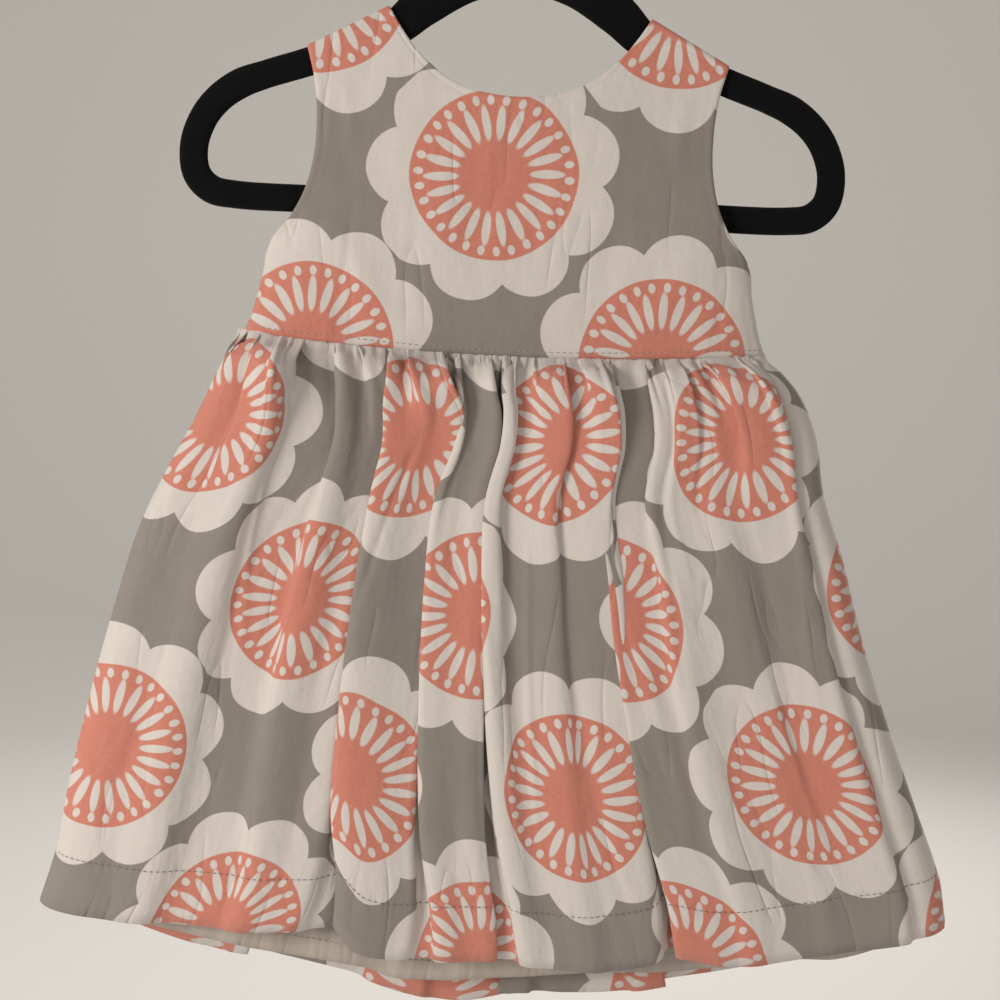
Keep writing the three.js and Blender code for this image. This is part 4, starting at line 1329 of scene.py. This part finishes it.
# %% [markdown]
# ### The lining's waves
# The lining has no folds of its own, only shallow waves that grow toward its hem.

# %% Lining panels
LINING_WIDTH = 488
LINING_LENGTH = SKIRT_LENGTH + LINING_EXTRA_LENGTH


def lining_relief(across, down):
    x = across * LINING_WIDTH
    near_hem = smooth_step(down, 0.75, 1)
    waves = 0.5 * np.sin(x / 7.1 + 2 * np.sin(x / 31)) + 0.4 * np.sin(x / 17.3 + 1)
    return waves * near_hem


for node, side in (("lining_front", -1), ("lining_back", 1)):
    piece = make_panel(
        node + "_cloth",
        node,
        LiningPanel(side),
        (200, 70, (0, 1), 1.0),
        lambda across, down: (across * LINING_WIDTH, (1 - down) * LINING_LENGTH),
        [lining_cloth, lining_cloth],
        lining_relief,
    )

# %% [markdown]
# ## Stitches
# A stitch is a short thread that dips into the cloth at both ends. One small stretched ball is
# copied along each seam. The seam's line comes from the same `place` functions as the cloth, so
# the thread follows every fold.

# %% Rows of stitches
STITCH_LENGTH = 2.5
STITCH_GAP = 0.9
STITCH_RADIUS = 0.24
STITCH_RISE = 0.16


def outer_line(panel, across, down, lift):
    """Points in millimetres on a panel's outer face, with the outward directions there."""
    step = 1e-3
    points = panel.place(across, down)
    left, right = np.clip(across - step, 0, 1), np.clip(across + step, 0, 1)
    above, below = np.clip(down - step, 0, 1), np.clip(down + step, 0, 1)
    sideways = panel.place(right, down) - panel.place(left, down)
    lengthways = panel.place(across, below) - panel.place(across, above)
    outward = np.cross(sideways, lengthways) * panel.side
    outward /= np.linalg.norm(outward, axis=1)[:, None]
    return points + outward * lift, outward


def stitch_frames(points, outward):
    """One place, direction and outward normal for each stitch along a line of points."""
    gaps = np.linalg.norm(np.diff(points, axis=0), axis=1)
    lengths = np.concatenate([[0], np.cumsum(gaps)])
    pitch = STITCH_LENGTH + STITCH_GAP
    starts = np.arange(pitch / 2, lengths[-1] - STITCH_LENGTH, pitch)

    def at(length, values):
        return np.stack([np.interp(length, lengths, values[:, k]) for k in range(3)], axis=-1)

    begin, end = at(starts, points), at(starts + STITCH_LENGTH, points)
    return (begin + end) / 2, end - begin, at(starts + STITCH_LENGTH / 2, outward)


def add_stitches(name, lines, material):
    """All the stitches of one kind of thread, joined into one object."""
    thread = bmesh.new()
    count = 0
    for points, outward in lines:
        for middle, along, normal in zip(*stitch_frames(points, outward)):
            x = Vector(along).normalized()
            y = Vector(normal).cross(x).normalized()
            turn = Matrix((x, y, x.cross(y))).transposed().to_4x4()
            size = Vector(along).length / 2
            place = Matrix.Translation(Vector(middle) * MM) @ turn
            stretch = Matrix.Diagonal((size * MM, STITCH_RADIUS * MM, STITCH_RADIUS * MM, 1))
            bmesh.ops.create_icosphere(thread, subdivisions=1, radius=1, matrix=place @ stretch)
            count += 1
    mesh = bpy.data.meshes.new(name)
    thread.to_mesh(mesh)
    thread.free()
    mesh.polygons.foreach_set("use_smooth", np.ones(len(mesh.polygons), bool))
    print(name, count, "stitches")
    return finish_object(mesh, name, [material])


def level_line(panel, down, lift, count=1200, across_range=(0.004, 0.996)):
    across = np.linspace(*across_range, count)
    return outer_line(panel, across, np.full(count, down), lift)


def upright_line(panel, across, lift, down_range=(0.01, 0.985), count=300):
    down = np.linspace(*down_range, count)
    return outer_line(panel, np.full(count, across), down, lift)


seam_thread = thread_material("seam_thread", (0.1, 0.085, 0.07), (0.17, 0.145, 0.125))
pale_thread = thread_material("pale_thread", (0.2, 0.17, 0.14), (0.36, 0.32, 0.28))
lining_thread = thread_material("lining_thread", (0.16, 0.135, 0.115), (0.25, 0.215, 0.185))
on_cloth = CLOTH_LIFT + STITCH_RISE
front_hem = 1 - HEM_DEPTH / SKIRT_LENGTH
back_hem = 1 - HEM_DEPTH / BACK_LENGTH
lining_hem = 1 - LINING_HEM_DEPTH / LINING_LENGTH
hem_stitches = add_stitches(
    "hem_stitches",
    [level_line(front_skirt, front_hem, on_cloth), level_line(back_skirt, back_hem, on_cloth)],
    seam_thread,
)
WAIST_STITCHES = 0.98
on_band = on_cloth + SEAM_BAND_RISE
PLACKET_INSET = 0.006
SIDE_INSET = 0.01
lap_edge = LEFT_BACK_RANGE[1]
bodice_stitches = add_stitches(
    "bodice_stitches",
    [
        level_line(front_bodice, WAIST_STITCHES, on_band, 400),
        level_line(left_back, WAIST_STITCHES, on_band, 200, (SIDE_INSET, lap_edge - PLACKET_INSET)),
        level_line(right_back, WAIST_STITCHES, on_band, 200, (lap_edge + PLACKET_INSET, 1 - SIDE_INSET)),
        upright_line(left_back, lap_edge - PLACKET_INSET, on_cloth),
    ],
    pale_thread,
)
lining_stitches = add_stitches(
    "lining_stitches",
    [level_line(LiningPanel(side), lining_hem, on_cloth, 600) for side in (-1, 1)],
    lining_thread,
)

# %% [markdown]
# ## Buttons
# A shirt button is a disc turned from one profile: a rim and a shallow dish, spun round the axis. Its
# four holes are not cut: each is a dark thread-coloured disc, thread and painted shade, crossed by
# thread.

# %% Buttons
BUTTON_RADIUS = 5.6
BUTTON_THICKNESS = 2.4
BUTTON_HOLE_RADIUS = 0.75
BUTTON_HOLE_PLACE = 1.35
HOLE_SHADE_RISE = 0.92
HOLE_SHADE_HALF_DEPTH = 0.1
THREAD_RISE = 1.1
THREAD_HALF_SIZE = (0.32, 0.3, 1.75)
BUTTON_PROFILE = [
    (0, 0.9),
    (2.6, 0.9),
    (3.3, 1.25),
    (3.9, 1.95),
    (4.6, BUTTON_THICKNESS),
    (5.2, 2.2),
    (BUTTON_RADIUS, 1.5),
    (BUTTON_RADIUS, 0.9),
    (5.0, 0.35),
    (3.6, 0.05),
    (0, 0),
]


def spun_disc(name, profile, centre):
    """A disc turned about the Y axis from (radius, height) pairs in millimetres."""
    disc = bmesh.new()
    verts = [disc.verts.new((r * MM, y * MM, 0)) for r, y in profile]
    edges = [disc.edges.new(pair) for pair in zip(verts, verts[1:])]
    bmesh.ops.spin(
        disc,
        geom=verts + edges,
        cent=(0, 0, 0),
        axis=(0, 1, 0),
        angle=2 * math.pi,
        steps=48,
        use_merge=True,
    )
    bmesh.ops.remove_doubles(disc, verts=disc.verts, dist=1e-6)
    bmesh.ops.recalc_face_normals(disc, faces=disc.faces)
    bmesh.ops.translate(disc, verts=disc.verts, vec=Vector(centre) * MM)
    mesh = bpy.data.meshes.new(name)
    disc.to_mesh(mesh)
    disc.free()
    return mesh


def squashed_ball(mesh, place, half_size, segments, rings):
    """A ball with its own half sizes, in millimetres."""
    where = Matrix.Translation(Vector(place) * MM)
    size = Matrix.Diagonal((*(Vector(half_size) * MM), 1))
    bmesh.ops.create_uvsphere(
        mesh,
        u_segments=segments,
        v_segments=rings,
        radius=1,
        matrix=where @ size,
    )


def button_thread(name, depth, z):
    """Painted shade: a dark thread-coloured disc over each of four holes, for the thread and the dark in
    it, and the two stitches that cross them.
    """
    thread = bmesh.new()
    for x in (-BUTTON_HOLE_PLACE, BUTTON_HOLE_PLACE):
        for up in (-BUTTON_HOLE_PLACE, BUTTON_HOLE_PLACE):
            # Each hole is a flat dark disc of thread colour on the dish: the thread in it and painted
            # shade.
            hole_shade = (BUTTON_HOLE_RADIUS, HOLE_SHADE_HALF_DEPTH, BUTTON_HOLE_RADIUS)
            squashed_ball(thread, (x, depth + HOLE_SHADE_RISE, z + up), hole_shade, 12, 6)
        squashed_ball(thread, (x, depth + THREAD_RISE, z), THREAD_HALF_SIZE, 10, 8)
    mesh = bpy.data.meshes.new(name)
    thread.to_mesh(mesh)
    thread.free()
    return mesh


def add_button(name, z):
    depth = SEAM_GAP / 2 + bodice_stand_off(z) + 2 * CLOTH + LAP_AIR + SEAM_GAP
    disc_mesh = spun_disc(name, BUTTON_PROFILE, (0, depth, z + HANGER_LINE))
    button = finish_object(disc_mesh, name + "_disc", [pearl])
    thread_mesh = button_thread(name + "_thread", depth, z + HANGER_LINE)
    finish_object(thread_mesh, name + "_thread", [seam_thread])
    for mesh in (disc_mesh, thread_mesh):
        mesh.polygons.foreach_set("use_smooth", np.ones(len(mesh.polygons), bool))
    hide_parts(name)
    return button


def bodice_stand_off(z):
    """How far the bodice stands off the middle plane on its centre line."""
    top = distance_to_line(np.zeros(1), np.array([float(z)]), FRONT_NECK[-1], STRAP_OUTER)[0]
    full = float(smooth_step(top, BODICE_DEPTH["from"], BODICE_DEPTH["at"]))
    return BODICE_DEPTH["strap"] * (1 - full) + BODICE_DEPTH["chest"] * full


pearl = button_material()
BUTTON_HEIGHTS = {"button_top": 20, "button_middle": -30, "button_bottom": -80}
buttons = [add_button(name, z) for name, z in BUTTON_HEIGHTS.items()]
print("buttons:", len(buttons))

# %% [markdown]
# ## The hanger and its hook
# The hanger is one closed loop with round edges. Its middle line is mirrored from a short table,
# and each section is a flattened ring that is a little fuller than an ellipse.

# %% Hanger
HANGER_ROWS = table(
    "x z width depth",
    (0, 103.4, 25, 7),
    (26, 98.6, 25, 7),
    (50.5, 83, 22, 5.6),
    (66, 69.8, 18.5, 5),
    (105.5, 52.5, 14.8, 5),
    (131.7, 43.4, 14.6, 5),
    (145, 38, 15.6, 5),
    (156, 29.8, 15.2, 5),
    (163.6, 19.6, 15, 5),
    (168.2, 5.2, 15, 5),
    (166.4, -9.4, 15, 5),
    (158.5, -17.2, 15, 5),
    (146, -19.4, 14.6, 5),
    (100, -19.8, 14.4, 5),
    (50, -19.8, 14.4, 5),
    (0, -19.8, 14.4, 5),
)
HANGER_AROUND = 24
HANGER_ALONG = 12
RIM_FULLNESS = 0.55


def closed_loop(rows):
    """A smooth closed curve with sizes, from the rows of its right half."""
    mirrored = [dict(row, x=-row["x"]) for row in rows[-2:0:-1]]
    whole = rows + mirrored
    ring = whole[-2:] + whole + whole[:2]
    points = smooth_edge([(row["x"], row["z"]) for row in ring], HANGER_ALONG)
    sizes = np.array([(row["width"], row["depth"]) for row in ring], float)
    stations = np.arange(len(points)) / HANGER_ALONG
    first, last = 2 * HANGER_ALONG, (2 + len(whole)) * HANGER_ALONG
    width = np.interp(stations, np.arange(len(ring)), sizes[:, 0])
    depth = np.interp(stations, np.arange(len(ring)), sizes[:, 1])
    tangents = np.gradient(points, axis=0)
    tangents /= np.hypot(*tangents.T)[:, None]
    return [values[first:last] for values in (points, tangents, width, depth)]


def ring_mesh(name, rings, closed):
    """A tube through rings of points, from a grid whose edges are merged."""
    tube = bmesh.new()
    along, around = len(rings), len(rings[0])
    bmesh.ops.create_grid(tube, x_segments=around, y_segments=along - (0 if closed else 1), size=1)
    tube.verts.ensure_lookup_table()
    for vert in tube.verts:
        i = round((vert.co.y + 1) / 2 * (along if closed else along - 1))
        k = round((vert.co.x + 1) / 2 * around)
        vert.co = rings[i % along][k % around]
    if not closed:
        bmesh.ops.remove_doubles(tube, verts=tube.verts, dist=1e-7)
        open_edges = [edge for edge in tube.edges if edge.is_boundary]
        bmesh.ops.holes_fill(tube, edges=open_edges, sides=0)
    bmesh.ops.remove_doubles(tube, verts=tube.verts, dist=1e-7)
    bmesh.ops.recalc_face_normals(tube, faces=tube.faces)
    mesh = bpy.data.meshes.new(name)
    tube.to_mesh(mesh)
    tube.free()
    mesh.polygons.foreach_set("use_smooth", np.ones(len(mesh.polygons), bool))
    return mesh


def hanger_rings():
    rings = []
    for (x, z), (ahead_x, ahead_z), width, depth in zip(*closed_loop(HANGER_ROWS)):
        ring = []
        for k in range(HANGER_AROUND):
            turn = 2 * math.pi * k / HANGER_AROUND
            flat = math.copysign(abs(math.cos(turn)) ** RIM_FULLNESS, math.cos(turn))
            across = width / 2 * flat
            deep = depth / 2 * math.sin(turn)
            ring.append(Vector((x + ahead_z * across, deep, z - ahead_x * across + HANGER_LINE)) * MM)
        rings.append(ring)
    return rings


hanger_mesh = ring_mesh("hanger_loop", hanger_rings(), closed=True)
hanger = finish_object(hanger_mesh, "hanger_loop", [flock_material()])
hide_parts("hanger")
print("hanger:", len(hanger_mesh.polygons), "faces")

# %% [markdown]
# The hook is a wire whose middle line goes straight up out of the hanger, round the rail, and ends
# in a tip; both ends of the wire are closed flat.

# %% Hook
WIRE_RADIUS = 1.8
HOOK_INNER_RADIUS = 19
HOOK_TIP_ANGLE = 205
HOOK_JOIN_ANGLE = -58
BORE_DEPTH = 16
WIRE_AROUND = 20


def hook_rings():
    radius = HOOK_INNER_RADIUS + WIRE_RADIUS
    neck_top = HANGER_LINE + HANGER_ROWS[0]["z"] + HANGER_ROWS[0]["width"] / 2
    foot = neck_top - BORE_DEPTH + SEAM_GAP
    line = [(0, foot), (0, neck_top - BORE_DEPTH / 2), (0, neck_top - 2), (0, neck_top + 3)]
    for angle in np.radians(np.linspace(HOOK_JOIN_ANGLE, HOOK_TIP_ANGLE, 17)):
        line.append((radius * math.cos(angle), radius * math.sin(angle) - HOOK_INNER_RADIUS))
    points = smooth_edge(line, 8)
    tangents = np.gradient(points, axis=0)
    tangents /= np.hypot(*tangents.T)[:, None]
    rings = []
    for (x, z), (ahead_x, ahead_z) in zip(points, tangents):
        ring = []
        for k in range(WIRE_AROUND):
            turn = 2 * math.pi * k / WIRE_AROUND
            across, deep = WIRE_RADIUS * math.cos(turn), WIRE_RADIUS * math.sin(turn)
            ring.append(Vector((x + ahead_z * across, deep, z - ahead_x * across)) * MM)
        rings.append(ring)
    return rings


hook_mesh = ring_mesh("hook_wire", hook_rings(), closed=False)
hook = finish_object(hook_mesh, "hook_wire", [wire_material()])
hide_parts("hanger_hook")
print("hook:", len(hook_mesh.polygons), "faces")

# %% [markdown]
# ## The floor
# The dress hangs, so the floor lies well below its hem.

# %% Floor
FLOOR_Z = -1.0
FLOOR_HALF_WIDTH = 5.0
FLOOR_FRONT = -4.0
SWEEP_START = 1.9
SWEEP_RADIUS = 1.0
BACKDROP_RISE = 3.0
FLOOR_COLOUR = (0.82, 0.81, 0.79)


def backdrop_mesh():
    """A floor whose far edge is spun up a quarter turn and then drawn up into a backdrop."""
    floor = bmesh.new()
    near = [floor.verts.new((x, FLOOR_FRONT, FLOOR_Z)) for x in (-FLOOR_HALF_WIDTH, FLOOR_HALF_WIDTH)]
    edge = floor.edges.new(near)
    flat = bmesh.ops.extrude_edge_only(floor, edges=[edge])["geom"]
    far = [part for part in flat if isinstance(part, bmesh.types.BMVert)]
    bmesh.ops.translate(floor, verts=far, vec=(0, SWEEP_START - FLOOR_FRONT, 0))
    far_edge = [part for part in flat if isinstance(part, bmesh.types.BMEdge)]
    swept = bmesh.ops.spin(
        floor,
        geom=far + far_edge,
        cent=(0, SWEEP_START, FLOOR_Z + SWEEP_RADIUS),
        axis=(1, 0, 0),
        angle=math.pi / 2,
        steps=24,
    )["geom_last"]
    top_edge = [part for part in swept if isinstance(part, bmesh.types.BMEdge)]
    raised = bmesh.ops.extrude_edge_only(floor, edges=top_edge)["geom"]
    top = [part for part in raised if isinstance(part, bmesh.types.BMVert)]
    bmesh.ops.translate(floor, verts=top, vec=(0, 0, BACKDROP_RISE))
    bmesh.ops.recalc_face_normals(floor, faces=floor.faces)
    for face in floor.faces:
        face.smooth = True
    mesh = bpy.data.meshes.new("floor")
    floor.to_mesh(mesh)
    floor.free()
    return mesh


def add_floor():
    mesh = backdrop_mesh()
    plain, _, shader = start_material("floor_plain", 0.9)
    shader.inputs["Base Color"].default_value = rgba(FLOOR_COLOUR)
    mesh.materials.append(plain)
    piece = bpy.data.objects.new("floor", mesh)
    bpy.context.scene.collection.objects.link(piece)


add_floor()
print("the floor lies", -FLOOR_Z, "m below the rail")
